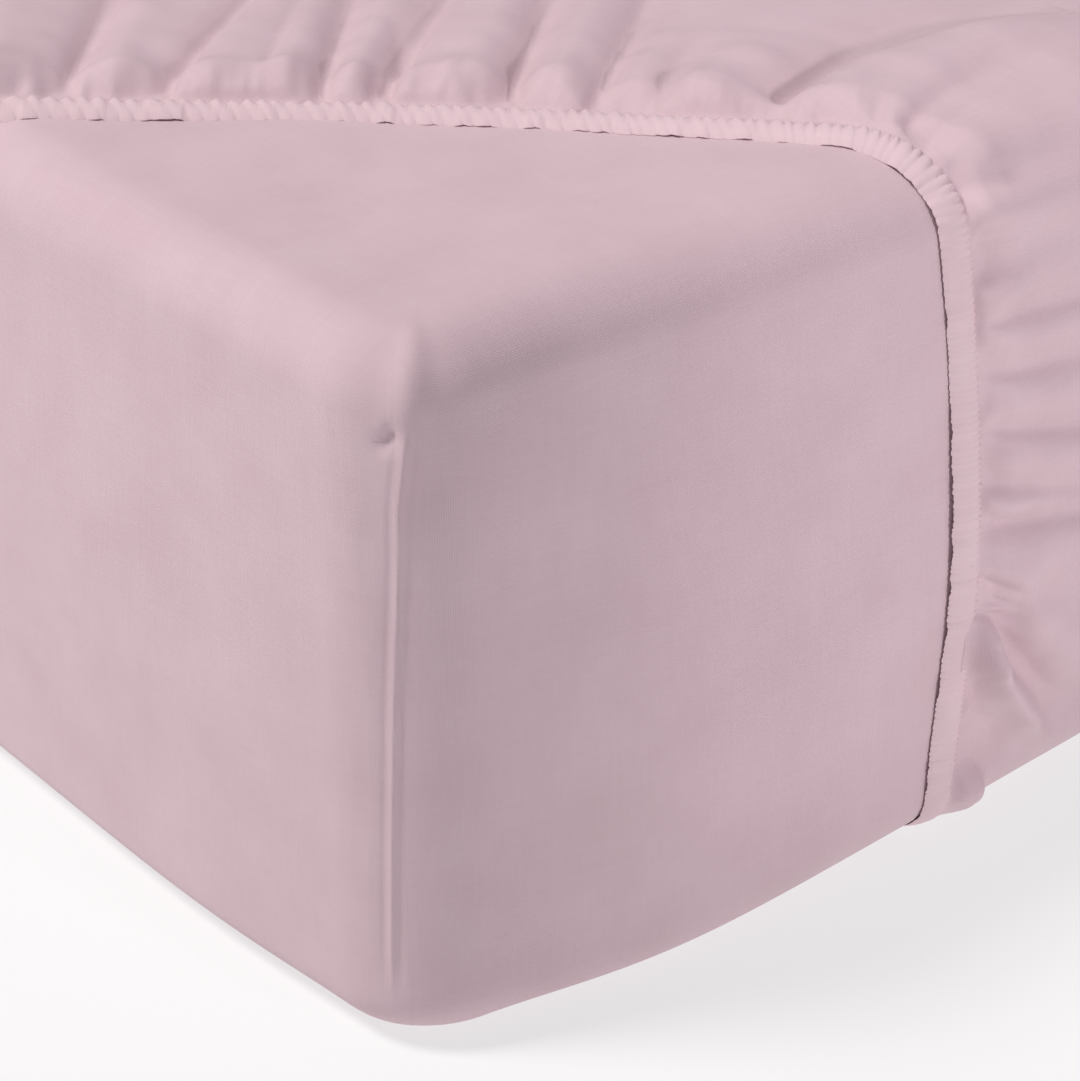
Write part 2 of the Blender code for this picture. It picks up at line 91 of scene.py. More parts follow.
def outline_at(x, y):
    """The outline's core point nearest to a pattern point, its outward normal and the distance."""
    half_x = HALF_WIDTH - PLAN_RADIUS
    half_y = HALF_LENGTH - PLAN_RADIUS
    core_x = np.clip(x, -half_x, half_x)
    core_y = np.clip(y, -half_y, half_y)
    gap_x = x - core_x
    gap_y = y - core_y
    gap = np.hypot(gap_x, gap_y)
    inside = gap < TINY
    gap_or_one = np.where(inside, 1.0, gap)
    normal_x = np.where(inside, 0.0, gap_x / gap_or_one)
    normal_y = np.where(inside, 0.0, gap_y / gap_or_one)
    inward = np.minimum(half_x - np.abs(x), half_y - np.abs(y))
    past = np.where(inside, -inward, gap) - PLAN_RADIUS
    return core_x, core_y, normal_x, normal_y, past


def side_form(core_x, core_y, normal_x, normal_y):
    """Belly and top edge radius at an outline point."""
    on_foot = np.abs(normal_y) >= np.abs(normal_x)
    turn = np.abs(np.arctan2(np.abs(normal_y), np.maximum(np.abs(normal_x), TINY)) - math.pi / 4)
    along = np.where(on_foot, HALF_WIDTH - PLAN_RADIUS - np.abs(core_x),
                     HALF_LENGTH - PLAN_RADIUS - np.abs(core_y))
    off_corner = PLAN_RADIUS * turn + along
    belly_grown = 1.0 - np.exp(-(off_corner / BELLY_REACH) ** 2)
    radius_grown = 1.0 - np.exp(-(off_corner / TOP_RADIUS_REACH) ** 2)
    radius_between = np.where(on_foot, TOP_RADIUS_FOOT, TOP_RADIUS_LONG)
    radius = TOP_RADIUS_CORNER + (radius_between - TOP_RADIUS_CORNER) * radius_grown
    return np.where(on_foot, BELLY_FOOT, BELLY_LONG) * belly_grown, radius


def drape(x, y):
    """Pattern points on the mattress: place, outward normal, run past the top, tucked share."""
    core_x, core_y, normal_x, normal_y, past = outline_at(x, y)
    belly, radius = side_form(core_x, core_y, normal_x, normal_y)
    side_height = DEPTH - radius - BOTTOM_RADIUS
    run = past + radius
    on_top = run <= 0.0

    top_turn = np.clip(run / radius, 0.0, QUARTER_TURN)
    down = run - radius * QUARTER_TURN
    bottom_turn = np.clip((down - side_height) / BOTTOM_RADIUS, 0.0, QUARTER_TURN)
    under = np.maximum(down - side_height - BOTTOM_RADIUS * QUARTER_TURN, 0.0)

    inset = radius * (1.0 - np.sin(top_turn)) + BOTTOM_RADIUS * (1.0 - np.cos(bottom_turn))
    height = (DEPTH - radius * (1.0 - np.cos(top_turn)) - np.clip(down, 0.0, side_height)
              - BOTTOM_RADIUS * np.sin(bottom_turn))
    out = PLAN_RADIUS - inset + belly * smooth_step((DEPTH - height) / (BELLY_DROP * DEPTH))
    level = np.sin(top_turn) * np.cos(bottom_turn)
    upright = np.cos(top_turn) - np.sin(bottom_turn)

    side_x = core_x + normal_x * out
    side_y = core_y + normal_y * out
    inward_x = -side_x
    inward_y = np.clip(side_y, -HALF_SPINE, HALF_SPINE) - side_y
    inward = np.maximum(np.hypot(inward_x, inward_y), TINY)
    side_x = side_x + inward_x / inward * under
    side_y = side_y + inward_y / inward * under

    place = np.stack((np.where(on_top, x, side_x), np.where(on_top, y, side_y),
                      UNDERSIDE + np.where(on_top, DEPTH, height)), axis=-1)
    normal = np.stack((np.where(on_top, 0.0, normal_x * level),
                       np.where(on_top, 0.0, normal_y * level),
                       np.where(on_top, 1.0, upright)), axis=-1)
    return place, normal, run, bottom_turn / QUARTER_TURN


def edge_share(x, y):
    """Nothing well in on the top, and one from the rolled edge outwards."""
    return smooth_step(1.0 + (outline_at(x, y)[4] + TOP_RADIUS_CORNER) / EDGE_RAMP)


def unrolled(x, y):
    """Where a pattern point is on its flat panel, in metres; panels meet at the corner seams."""
    core_x, core_y, normal_x, normal_y, past = outline_at(x, y)
    reach = PLAN_RADIUS + past
    arc = np.minimum(reach, PLAN_RADIUS)
    turn = np.arctan2(np.abs(normal_x), np.maximum(np.abs(normal_y), TINY))
    at_foot = turn < math.pi / 4
    across_foot = core_x + np.sign(normal_x) * arc * turn
    across_long = core_y + np.sign(normal_y) * arc * (QUARTER_TURN - turn)
    inside = reach < 0.0
    panel_x = np.where(at_foot, across_foot, core_x + np.sign(normal_x) * reach)
    panel_y = np.where(at_foot, core_y + np.sign(normal_y) * reach, across_long)
    return np.where(inside, x, panel_x), np.where(inside, y, panel_y)


def spread(start, end, steps):
    """Stations from start to end, at about the step that steps(place) asks for at each place."""
    probe = np.linspace(start, end, 6000)
    need = 1.0 / steps(probe)
    total = np.concatenate(((0.0,), np.cumsum(0.5 * (need[1:] + need[:-1]) * np.diff(probe))))
    return np.interp(np.linspace(0.0, total[-1], round(total[-1]) + 1), total, probe)


def unevenness(x, y, seed, shortest, longest):
    """Low rounded waves over the pattern, of a height of about one."""
    chance = np.random.default_rng(seed)
    count = 14
    total = 0.0
    for _ in range(count):
        wavelength = shortest * (longest / shortest) ** chance.random()
        heading = chance.random() * math.tau
        phase = chance.random() * math.tau
        along = x * math.cos(heading) + y * math.sin(heading)
        total = total + np.sin(along * math.tau / wavelength + phase)
    return total / math.sqrt(count)


ARC = PLAN_RADIUS * QUARTER_TURN        # length of one upright corner's arc
SIDE_LONG = 2 * (HALF_LENGTH - PLAN_RADIUS)
SIDE_FOOT = 2 * (HALF_WIDTH - PLAN_RADIUS)
ROUND = 2 * (SIDE_LONG + SIDE_FOOT) + 4 * ARC


def round_outline(around):
    """Core point and normal at a distance round the outline from the middle of the bare corner.

    The way round starts along the foot side, so a small minus distance is on the long side.
    """
    around = np.mod(around + ARC / 2, ROUND)
    half_x = HALF_WIDTH - PLAN_RADIUS
    half_y = HALF_LENGTH - PLAN_RADIUS
    corners = ((-half_x, -half_y), (half_x, -half_y), (half_x, half_y), (-half_x, half_y))
    core = np.zeros(around.shape + (2,))
    angle = np.zeros(around.shape)
    start = 0.0
    for index, corner in enumerate(corners):
        after = corners[(index + 1) % 4]
        side = SIDE_FOOT if index % 2 == 0 else SIDE_LONG
        first_angle = math.pi + index * QUARTER_TURN
        along_arc = around - start
        along_side = along_arc - ARC
        on_arc = (along_arc >= 0.0) & (along_side < 0.0)
        on_side = (along_side >= 0.0) & (along_side < side)
        core = np.where(on_arc[..., None], corner, core)
        angle = np.where(on_arc, first_angle + along_arc / PLAN_RADIUS, angle)
        share = (along_side / side)[..., None]
        core = np.where(on_side[..., None], np.array(corner) * (1 - share) + np.array(after) * share, core)
        angle = np.where(on_side, first_angle + QUARTER_TURN, angle)
        start += ARC + side
    return core[..., 0], core[..., 1], np.cos(angle), np.sin(angle)


def from_corner(around):
    """Distance round the outline to the nearest corner's middle."""
    gaps = [0.0, ARC + SIDE_FOOT, 2 * ARC + SIDE_FOOT + SIDE_LONG, ROUND - ARC - SIDE_LONG, ROUND]
    return np.min([np.abs(np.mod(around, ROUND) - gap) for gap in gaps], axis=0)


COVER_SEAM = (                  # the seam wanders a little round the bare corner on its way down
    # run past the top, distance round from the middle of the corner
    (0.000, 0.0095),
    (0.026, 0.0055),
    (0.038, 0.0044),
    (0.052, 0.0037),
    (0.080, 0.0006),
    (0.100, 0.0002),
    (0.163, -0.0032),
    (0.233, -0.0058),
    (0.303, -0.0077),
)
SEAM_START = (0.047, 0.006)     # from this run on, over so much, its two layers stand up as a ridge
SEAM_RIDGE = 0.0009
SEAM_WIDTH = 0.0009
GROOVE_DEPTH = 0.0005           # the cover sinks beside the ridge
GROOVE_ASIDE = 0.0034
GROOVE_WIDTH = 0.0013
STITCH_PITCH = 0.0062           # needle puckers beside the seam
STITCH_DEPTH = 0.00028
STITCH_ASIDE = 0.0058
STITCH_WIDTH = 0.0026
CORNER_PINCH = 0.0030           # the seam draws the corner out to a point under the top edge
PINCH_WIDTH = 0.0078
PINCH_RISE = (-0.004, 0.034)    # run past the top where it starts, and over how much it grows
PINCH_FALL = (0.040, 0.075)
PUCKERS = (                     # dents under the top of the seam
    # run past the top, distance from the seam, length, width, depth
    (0.0490, -0.0052, 0.0034, 0.0026, 0.0030),
    (0.0525, -0.0086, 0.0024, 0.0034, 0.0019),
    (0.0700, 0.0120, 0.0100, 0.0060, 0.0005),
    (0.0950, -0.0110, 0.0140, 0.0050, 0.0005),
    (0.1500, 0.0110, 0.0220, 0.0060, 0.0004),
    (0.2100, -0.0120, 0.0260, 0.0060, 0.0004),
)
COVER_UNEVEN = 0.0006           # low swells in the padding, none close to the corner seams
COVER_SWELLS = (0.090, 0.260)   # shortest and longest
COVER_CALM = (0.010, 0.060)     # distance from a corner where they start, and over how much


def cover_relief(around, run, x, y):
    """How far the cover stands off its plain form."""
    seam_run, seam_around = zip(*COVER_SEAM)
    aside = around - np.interp(run, seam_run, seam_around)
    sewn = ramp(run, *SEAM_START)
    ridge = SEAM_RIDGE * np.exp(-(aside / SEAM_WIDTH) ** 2)
    groove = GROOVE_DEPTH * np.exp(-((np.abs(aside) - GROOVE_ASIDE) / GROOVE_WIDTH) ** 2)
    wave = 0.5 + 0.5 * np.cos(math.tau * run / STITCH_PITCH + np.sign(aside) * 0.9)
    stitch = STITCH_DEPTH * wave * np.exp(-((np.abs(aside) - STITCH_ASIDE) / STITCH_WIDTH) ** 2)
    pinched = ramp(run, *PINCH_RISE) * (1.0 - ramp(run, *PINCH_FALL))
    relief = sewn * (ridge - groove - stitch)
    relief = relief + CORNER_PINCH * np.exp(-(aside / PINCH_WIDTH) ** 2) * pinched
    for dent_run, dent_aside, length, width, depth in PUCKERS:
        dent = ((run - dent_run) / length) ** 2 + ((aside - dent_aside) / width) ** 2
        relief = relief - depth * np.exp(-dent)
    swell = unevenness(x, y, 3, *COVER_SWELLS)
    return relief + COVER_UNEVEN * swell * ramp(from_corner(around), *COVER_CALM)


COVER_INSET = 0.300             # the cover is shaped this far in from the edge, then flat
COVER_INSET_CORNER = 0.060
COVER_TOP_ROWS = 26
COVER_ROWS_CROWD = 1.15         # over one crowds the top's rows towards its edge
RELIEF_ENDS = (0.28, 0.03)      # run past the top from which the cover goes plain


def inner_line(core_x, core_y, normal_x, normal_y, inset, corner):
    """Point on a rounded rectangle that lies inset from the outline."""
    shrink_x = (HALF_WIDTH - inset - corner) / (HALF_WIDTH - PLAN_RADIUS)
    shrink_y = (HALF_LENGTH - inset - corner) / (HALF_LENGTH - PLAN_RADIUS)
    return core_x * shrink_x + normal_x * corner, core_y * shrink_y + normal_y * corner


def cover_column_steps(around):
    """Fine columns at the seam and on the bare corner's sides, coarse where the sheet covers."""
    off = np.abs(around)
    fine = 0.0008 + 0.0012 * ramp(off, 0.014, 0.010)
    fine = fine + 0.0035 * ramp(off, 0.060, 0.060)
    fine = fine + 0.0400 * ramp(off, 0.340, 0.120)
    return np.minimum(fine, 0.008 + 0.040 * ramp(from_corner(around), 0.0, 0.150))


def cover_row_steps(run):
    """Row steps along a column, by the run past the top."""
    on_edge = ramp(run, -0.010, 0.010) * (1.0 - ramp(run, 0.090, 0.020))
    at_bottom = ramp(run, 0.295, 0.020)
    return 0.0095 - 0.0060 * on_edge - 0.0045 * at_bottom


def grid_mesh(name, corners, uv, closed, caps):
    """A mesh of quads over rows of points; its UV map holds metres on the flat cloth."""
    rows, columns = corners.shape[:2]
    last = columns if closed else columns - 1
    lower = (np.arange(rows - 1)[:, None] * columns + np.arange(last)[None, :]).ravel()
    after = (np.arange(rows - 1)[:, None] * columns + (np.arange(last) + 1)[None, :] % columns).ravel()
    faces = np.stack((lower, after, after + columns, lower + columns), -1).tolist()
    if caps:
        faces.append(list(range(columns))[::-1])
        faces.append(list(range((rows - 1) * columns, rows * columns)))
    mesh = bpy.data.meshes.new(name)
    mesh.from_pydata(corners.reshape(-1, 3).tolist(), [], faces)
    mesh.shade_smooth()
    layer = mesh.uv_layers.new(name="cloth")
    index = np.zeros(len(mesh.loops), np.int32)
    mesh.loops.foreach_get("vertex_index", index)
    layer.data.foreach_set("uv", uv.reshape(-1, 2)[index].astype(np.float32).ravel())
    piece = bpy.data.objects.new(name, mesh)
    bpy.context.scene.collection.objects.link(piece)
    return piece


def make_cover():
    """The cover from the flat middle of the top, out over the edge and down to the underside."""
    around = spread(-ROUND / 2, ROUND / 2, cover_column_steps)[:-1]
    core_x, core_y, normal_x, normal_y = round_outline(around)
    radius = side_form(core_x, core_y, normal_x, normal_y)[1]
    side_end = radius * QUARTER_TURN + DEPTH - radius - BOTTOM_RADIUS + BOTTOM_RADIUS * QUARTER_TURN
    top_share = np.linspace(1.0, 0.0, COVER_TOP_ROWS + 1)[:-1] ** COVER_ROWS_CROWD
    places = []
    runs = []
    panels = []
    inner_x, inner_y = inner_line(core_x, core_y, normal_x, normal_y, COVER_INSET, COVER_INSET_CORNER)
    edge = PLAN_RADIUS - radius
    for share in top_share:
        x = (core_x + normal_x * edge) * (1 - share) + inner_x * share
        y = (core_y + normal_y * edge) * (1 - share) + inner_y * share
        places.append((x, y))
        runs.append(np.full(len(around), -COVER_INSET * share))
    for run in spread(0.0, 1.0, lambda share: cover_row_steps(share * side_end.mean()) / side_end.mean()):
        reach = edge + np.maximum(run * side_end, TINY)
        places.append((core_x + normal_x * reach, core_y + normal_y * reach))
        runs.append(run * side_end)
    grid = []
    for (x, y), run in zip(places, runs):
        place, normal = drape(x, y)[:2]
        fade = 1.0 - ramp(run, *RELIEF_ENDS)
        grid.append(place + normal * (cover_relief(around, run, x, y) * fade)[:, None])
        panels.append(np.stack(unrolled(x, y), -1))
    return grid_mesh("mattress_in_cover", np.array(grid)[::-1], np.array(panels)[::-1], True, True)


def linear(code):
    """An sRGB hex colour as the linear values that shaders take."""
    channels = [int(code[at:at + 2], 16) / 255 for at in (1, 3, 5)]
    return [c / 12.92 if c <= 0.04045 else ((c + 0.055) / 1.055) ** 2.4 for c in channels] + [1.0]


def add_node(material, kind, inputs=(), **settings):
    """A shader node with its settings; an input is a value or another node's output socket."""
    node = material.node_tree.nodes.new(kind)
    for name, value in settings.items():
        setattr(node, name, value)
    for socket, value in dict(inputs).items():
        if isinstance(value, bpy.types.NodeSocket):
            material.node_tree.links.new(value, node.inputs[socket])
        else:
            node.inputs[socket].default_value = value
    return node


def wave_scale(pitch):
    """Wave Texture's scale for bands of this pitch in metres."""
    return math.tau / (20.0 * pitch)


THREAD_PITCH = 0.0009           # percale has 0.3 mm threads; drawn coarser, so that they show
SLUB_LENGTH = 0.030             # thick places in the yarn
SLUB_WIDTH = 0.0022
CLOUD_SIZE = 0.045              # uneven dyeing and pressing


def cotton(name, colour, shade, roughness):
    """Percale: plain-weave cotton, matt, with a faint bloom at grazing angles from its fuzz."""
    material = bpy.data.materials.new(name)
    material.use_nodes = True
    shader = material.node_tree.nodes["Principled BSDF"]
    shader.inputs["Roughness"].default_value = roughness
    shader.inputs["IOR"].default_value = 1.45
    shader.inputs["Specular IOR Level"].default_value = 0.25
    shader.inputs["Sheen Weight"].default_value = 0.22
    shader.inputs["Sheen Roughness"].default_value = 0.45
    shader.inputs["Sheen Tint"].default_value = linear("#fff2f3")
    cloth = add_node(material, "ShaderNodeUVMap", uv_map="cloth").outputs["UV"]

    clouds = add_node(material, "ShaderNodeTexNoise",
                      {"Vector": cloth, "Scale": 1 / CLOUD_SIZE, "Detail": 3.0, "Roughness": 0.55})
    yarns = []
    for stretch in ((1 / SLUB_WIDTH, 1 / SLUB_LENGTH, 1.0), (1 / SLUB_LENGTH, 1 / SLUB_WIDTH, 1.0)):
        drawn = add_node(material, "ShaderNodeMapping", {"Vector": cloth, "Scale": stretch})
        yarns.append(add_node(material, "ShaderNodeTexNoise",
                              {"Vector": drawn.outputs["Vector"], "Scale": 1.0, "Detail": 2.0}))
    slubs = add_node(material, "ShaderNodeMath",
                     {0: yarns[0].outputs["Fac"], 1: yarns[1].outputs["Fac"]}, operation="ADD")
    unevenly = add_node(material, "ShaderNodeMath",
                        {0: clouds.outputs["Fac"], 1: 0.62}, operation="MULTIPLY")
    blotch = add_node(material, "ShaderNodeMath",
                      {0: slubs.outputs["Value"], 1: 0.19, 2: unevenly.outputs["Value"]},
                      operation="MULTIPLY_ADD")
    tint = add_node(material, "ShaderNodeMapRange",
                    {"Value": blotch.outputs["Value"], "From Min": 0.34, "From Max": 0.66})
    mixed = add_node(material, "ShaderNodeMix",
                     {"Factor": tint.outputs["Result"], 6: linear(shade), 7: linear(colour)},
                     data_type="RGBA")
    material.node_tree.links.new(mixed.outputs[2], shader.inputs["Base Color"])

    warp, weft = [add_node(material, "ShaderNodeTexWave",
                           {"Vector": cloth, "Scale": wave_scale(THREAD_PITCH), "Distortion": 1.2,
                            "Detail": 1.0, "Detail Scale": 0.6}, bands_direction=way) for way in "XY"]
    weave = add_node(material, "ShaderNodeMath",
                     {0: warp.outputs["Fac"], 1: weft.outputs["Fac"]}, operation="ADD")
    raised = add_node(material, "ShaderNodeMath",
                      {0: slubs.outputs["Value"], 1: 1.6, 2: weave.outputs["Value"]},
                      operation="MULTIPLY_ADD")
    bump = add_node(material, "ShaderNodeBump",
                    {"Height": raised.outputs["Value"], "Strength": 0.28, "Distance": 0.00012})
    material.node_tree.links.new(bump.outputs["Normal"], shader.inputs["Normal"])
    return material


cover = make_cover()
cover.data.materials.append(cotton("percale_cover", "#d6bdc3", "#cfb5bb", 0.82))
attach(cover, "root")
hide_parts("mattress")

# ---- fitted sheet ---------------------------------------------------------------------------
# One panel of percale, cut with a square out of each corner and sewn up there to a pocket 0.32 m
# deep.  The elastic in its hem has slipped off the bare corner and gathers the slack cloth
# behind it into folds; round the other three corners the sheet is on and tucked under.
CLOTH = 0.0006
HEM_WIDTH = 0.0155              # elastic run in a turned hem
TUCK = 0.080                    # how far the hem lies in from the bottom edge

# The free edge of the hem round the sprung corner, on the flat pattern, measured from the bare
# corner along the foot side and along the long side.  Minus is down that side.
SPRUNG_HEM = (
    # along foot, along long side
    (-0.401, 0.490),
    (-0.396, 0.385),
    (-0.364, 0.336),
    (-0.310, 0.324),
    (-0.230, 0.319),
    (-0.140, 0.313),
    (-0.060, 0.304),
    (-0.010, 0.2960),
    (0.020, 0.2795),
    (0.050, 0.2532),
    (0.112, 0.1994),
    (0.170, 0.1403),
    (0.2246, 0.0792),
    (0.2502, 0.0475),
    (0.2680, 0.0225),
    (0.2795, -0.0020),
    (0.2835, -0.0300),
    (0.2845, -0.0700),
    (0.2828, -0.1140),
    (0.2790, -0.1700),
    (0.2745, -0.2250),
    (0.2720, -0.2800),
    (0.2740, -0.3150),
    (0.2850, -0.3500),
    (0.3120, -0.3790),
    (0.3650, -0.3950),
    (0.4500, -0.3985),
)
SPRUNG_END_FOOT = 0.600         # from here on the hem is tucked as it should be
SPRUNG_END_LONG = 0.700
HEM_SAMPLES = 12                # per span between the hem's points

# Places are counted along the hem from where it crosses the top edge of the foot side: plus
# down that side, minus across the top.
HEM_FORM = (
    # place, thickness, free edge lift, sewn edge lift, pleat pitch, depth, slant, scallop, join, slack
    (-1.150, 0.0036, 0.0002, 0.0002, 0.0075, 0.45, 0.50, 0.0009, 0.45, 0.0030),
    (-0.450, 0.0038, 0.0002, 0.0002, 0.0070, 0.70, 0.60, 0.0014, 0.40, 0.0070),
    (-0.330, 0.0046, -0.0003, 0.0002, 0.0068, 0.95, 0.55, 0.0026, 0.34, 0.0092),
    (-0.200, 0.0048, -0.0003, 0.0002, 0.0060, 0.95, 0.55, 0.0028, 0.34, 0.0095),
    (-0.080, 0.0047, -0.0003, 0.0002, 0.0054, 0.95, 0.45, 0.0024, 0.36, 0.0090),
    (-0.045, 0.0043, -0.0003, 0.0002, 0.0046, 0.88, 0.10, 0.0016, 0.45, 0.0085),
    (-0.010, 0.0036, -0.0003, 0.0003, 0.0038, 0.85, -0.15, 0.0012, 0.55, 0.0080),
    (0.012, 0.0028, 0.0001, 0.0004, 0.0035, 0.50, -0.20, 0.0009, 0.70, 0.0070),
    (0.040, 0.0022, 0.0007, 0.0006, 0.0030, 0.22, 0.00, 0.0012, 0.80, 0.0060),
    (0.120, 0.0022, 0.0010, 0.0008, 0.0028, 0.22, 0.00, 0.0020, 0.80, 0.0064),
    (0.200, 0.0022, 0.0004, 0.0006, 0.0028, 0.22, 0.00, 0.0020, 0.75, 0.0088),
    (0.280, 0.0023, 0.0004, 0.0005, 0.0029, 0.22, 0.00, 0.0018, 0.75, 0.0088),
    (0.340, 0.0028, 0.0002, 0.0002, 0.0055, 0.30, 0.20, 0.0006, 0.60, 0.0050),
    (0.690, 0.0030, 0.0002, 0.0002, 0.0075, 0.35, 0.40, 0.0006, 0.50, 0.0020),
)

# Folds behind the sprung hem.  A fold runs square to the hem, or leans by so much along it for
# each step away.  A ridge has a height above the cloth's general fullness, and a hollow a minus
# height.  A bias over nothing makes the side further along the hem the steeper one.
FOLDS = (
    # place, lean, width, start, length, height, bias
    (-0.640, -0.10, 0.018, 0.011, 0.160, 0.0035, 0.0),
    (-0.590, 0.05, 0.016, 0.008, 0.140, -0.0045, 0.0),
    (-0.545, 0.10, 0.014, 0.011, 0.170, 0.0035, 0.0),
    (-0.495, -0.05, 0.016, 0.008, 0.150, -0.0050, 0.0),
    (-0.450, -0.10, 0.013, 0.011, 0.180, 0.0035, 0.0),
    (-0.425, -0.10, 0.010, 0.008, 0.180, -0.0055, 0.0),
    (-0.384, -0.05, 0.011, 0.011, 0.240, 0.0045, 0.0),
    (-0.361, 0.00, 0.0073, 0.004, 0.300, -0.0080, -0.3),
    (-0.341, 0.00, 0.0085, 0.011, 0.300, 0.0035, 0.0),
    (-0.322, 0.22, 0.0063, 0.004, 0.300, -0.0080, 0.3),
    (-0.297, 0.05, 0.0119, 0.011, 0.300, 0.0032, 0.2),
    (-0.281, 0.08, 0.0033, 0.030, 0.160, -0.0022, 0.0),
    (-0.268, 0.00, 0.0085, 0.011, 0.280, 0.0028, 0.0),
    (-0.254, 0.00, 0.0059, 0.004, 0.300, -0.0070, -0.2),
    (-0.243, 0.03, 0.0059, 0.011, 0.200, 0.0028, 0.0),
    (-0.230, 0.10, 0.0066, 0.004, 0.300, -0.0075, 0.3),
    (-0.213, -0.20, 0.0033, 0.030, 0.110, -0.0030, 0.0),
    (-0.196, 0.03, 0.011, 0.011, 0.300, 0.0036, 0.3),
    (-0.177, 0.03, 0.0066, 0.004, 0.300, -0.0078, -0.2),
    (-0.158, 0.02, 0.0093, 0.011, 0.280, 0.0036, 0.2),
    (-0.143, 0.08, 0.0066, 0.004, 0.300, -0.0068, -0.2),
    (-0.122, 0.20, 0.007, 0.002, 0.100, -0.0060, -0.3),
    (-0.101, 0.18, 0.014, 0.011, 0.110, 0.0052, 0.2),
    (-0.078, 0.37, 0.0085, 0.024, 0.320, -0.0110, 0.4),
    (-0.045, 0.26, 0.013, 0.011, 0.280, 0.0042, 0.4),
    (-0.022, 0.17, 0.0056, 0.014, 0.240, -0.0068, -0.2),
    (-0.012, 0.12, 0.0042, 0.010, 0.150, -0.0044, 0.0),
    (-0.003, 0.10, 0.009, 0.011, 0.180, 0.0028, 0.0),
    (0.006, 0.10, 0.0048, 0.004, 0.110, -0.0050, 0.0),
    (0.020, 0.00, 0.012, 0.011, 0.160, 0.0030, 0.0),
    (0.033, 0.05, 0.007, 0.004, 0.110, -0.0034, 0.0),
    (0.045, 0.06, 0.010, 0.011, 0.150, 0.0018, 0.0),
    (0.057, 0.10, 0.0055, 0.002, 0.170, -0.0046, 0.4),
    (0.068, 0.08, 0.008, 0.011, 0.150, 0.0016, 0.0),
    (0.080, 0.10, 0.0055, 0.002, 0.160, -0.0046, 0.4),
    (0.090, 0.15, 0.008, 0.011, 0.150, 0.0016, 0.0),
    (0.101, 0.22, 0.0050, 0.000, 0.170, -0.0052, 0.4),
    (0.113, 0.24, 0.009, 0.011, 0.150, 0.0020, 0.0),
    (0.125, 0.24, 0.0045, 0.000, 0.110, -0.0046, 0.4),
    (0.134, 0.24, 0.006, 0.011, 0.110, 0.0030, 0.3),
    (0.143, 0.16, 0.0060, 0.000, 0.190, -0.0070, 0.4),
    (0.158, 0.16, 0.010, 0.011, 0.150, 0.0036, 0.0),
    (0.167, 0.40, 0.0021, 0.000, 0.046, -0.0056, 0.0),
    (0.174, 0.40, 0.0021, 0.000, 0.048, -0.0056, 0.0),
    (0.181, 0.40, 0.0021, 0.000, 0.050, -0.0056, 0.0),
    (0.184, 0.05, 0.008, 0.030, 0.080, -0.0058, 0.0),
    (0.150, 0.85, 0.010, 0.030, 0.140, 0.0045, 0.0),
    (0.167, 1.15, 0.0120, 0.020, 0.150, -0.0140, -0.4),
    (0.187, 1.15, 0.0085, 0.009, 0.120, 0.0125, 0.2),
    (0.195, 2.20, 0.0130, 0.014, 0.056, -0.0085, 0.0),
    (0.240, 0.60, 0.0090, 0.000, 0.060, -0.0080, -0.3),
    (0.303, 0.10, 0.0170, 0.011, 0.060, 0.0095, 0.0),
    (0.345, 0.10, 0.016, 0.011, 0.090, 0.0030, 0.0),
)
FOLD_GROWTH = 0.014             # a fold rises over this far from its start
FOLD_HOLD = 0.60                # and keeps its height for this share of its length
FOLD_SPREAD = 1.8               # how much of its width it gains by its end
SLACK_LENGTH = 0.340            # how far the gathered cloth's general fullness reaches
SLACK_LENGTH_LOW = 0.110        # and at the foot of the bed
LEAST_STANDOFF = 0.0008
GATHER_PITCH = 0.0066           # small tucks where the cloth leaves the hem
PLEAT_CARRY = 0.0100            # the hem's pleats run on into the cloth this far
CRUMPLE = 0.0007                # small uneven facets between the folds
CRUMPLE_SIZES = (0.026, 0.080)
CRUMPLE_REACH = 0.200
UNDER_SHARE = 0.30              # the cloth comes out from under the hem at this share of its height
LOW_DOWN = 0.060                # the cloth is drawn in over this height above the bed's foot
LOW_DRAWN = (0.024, 0.020)      # from this distance on, past the lobe beside the hem
PRESSED = 0.62                  # share of the bottom edge past which folds are pressed flat
CLEAR_TOP = 0.0004              # cloth to mattress on the top, and on the sides
CLEAR_SIDE = 0.0024


def smooth_line(points, samples_per_span):
    """A Catmull-Rom curve through listed points."""
    points = np.array(points)
    padded = np.vstack((2 * points[0] - points[1], points, 2 * points[-1] - points[-2]))
    curve = []
    for a, b, c, d in zip(padded, padded[1:], padded[2:], padded[3:]):
        for step in range(samples_per_span):
            t = step / samples_per_span
            curve.append(0.5 * (2 * b + (c - a) * t + (2 * a - 5 * b + 4 * c - d) * t ** 2
                                + (3 * b - a - 3 * c + d) * t ** 3))
    return np.array(curve + [points[-1]])


def lengths_along(line):
    """Distance of each point of a line from its start."""
    return np.concatenate(((0.0,), np.cumsum(np.hypot(*np.diff(line, axis=0).T))))


def tucked_hem(core_x, core_y, normal_x, normal_y):
    """Pattern point of the hem's edge where the sheet is on as it should be."""
    radius = side_form(core_x, core_y, normal_x, normal_y)[1]
    down_and_round = -radius + (radius + BOTTOM_RADIUS) * QUARTER_TURN + DEPTH - radius - BOTTOM_RADIUS
    reach = PLAN_RADIUS + down_and_round + TUCK
    return np.stack((core_x + normal_x * reach, core_y + normal_y * reach), axis=-1)


def sprung_ends():
    """Core points and normals where the sprung stretch of hem begins and ends."""
    foot_end = (NEAR_CORNER[0] + SPRUNG_END_FOOT, PLAN_RADIUS - HALF_LENGTH, 0.0, -1.0)
    long_end = (PLAN_RADIUS - HALF_WIDTH, NEAR_CORNER[1] + SPRUNG_END_LONG, -1.0, 0.0)
    return [[np.array(value) for value in end] for end in (long_end, foot_end)]


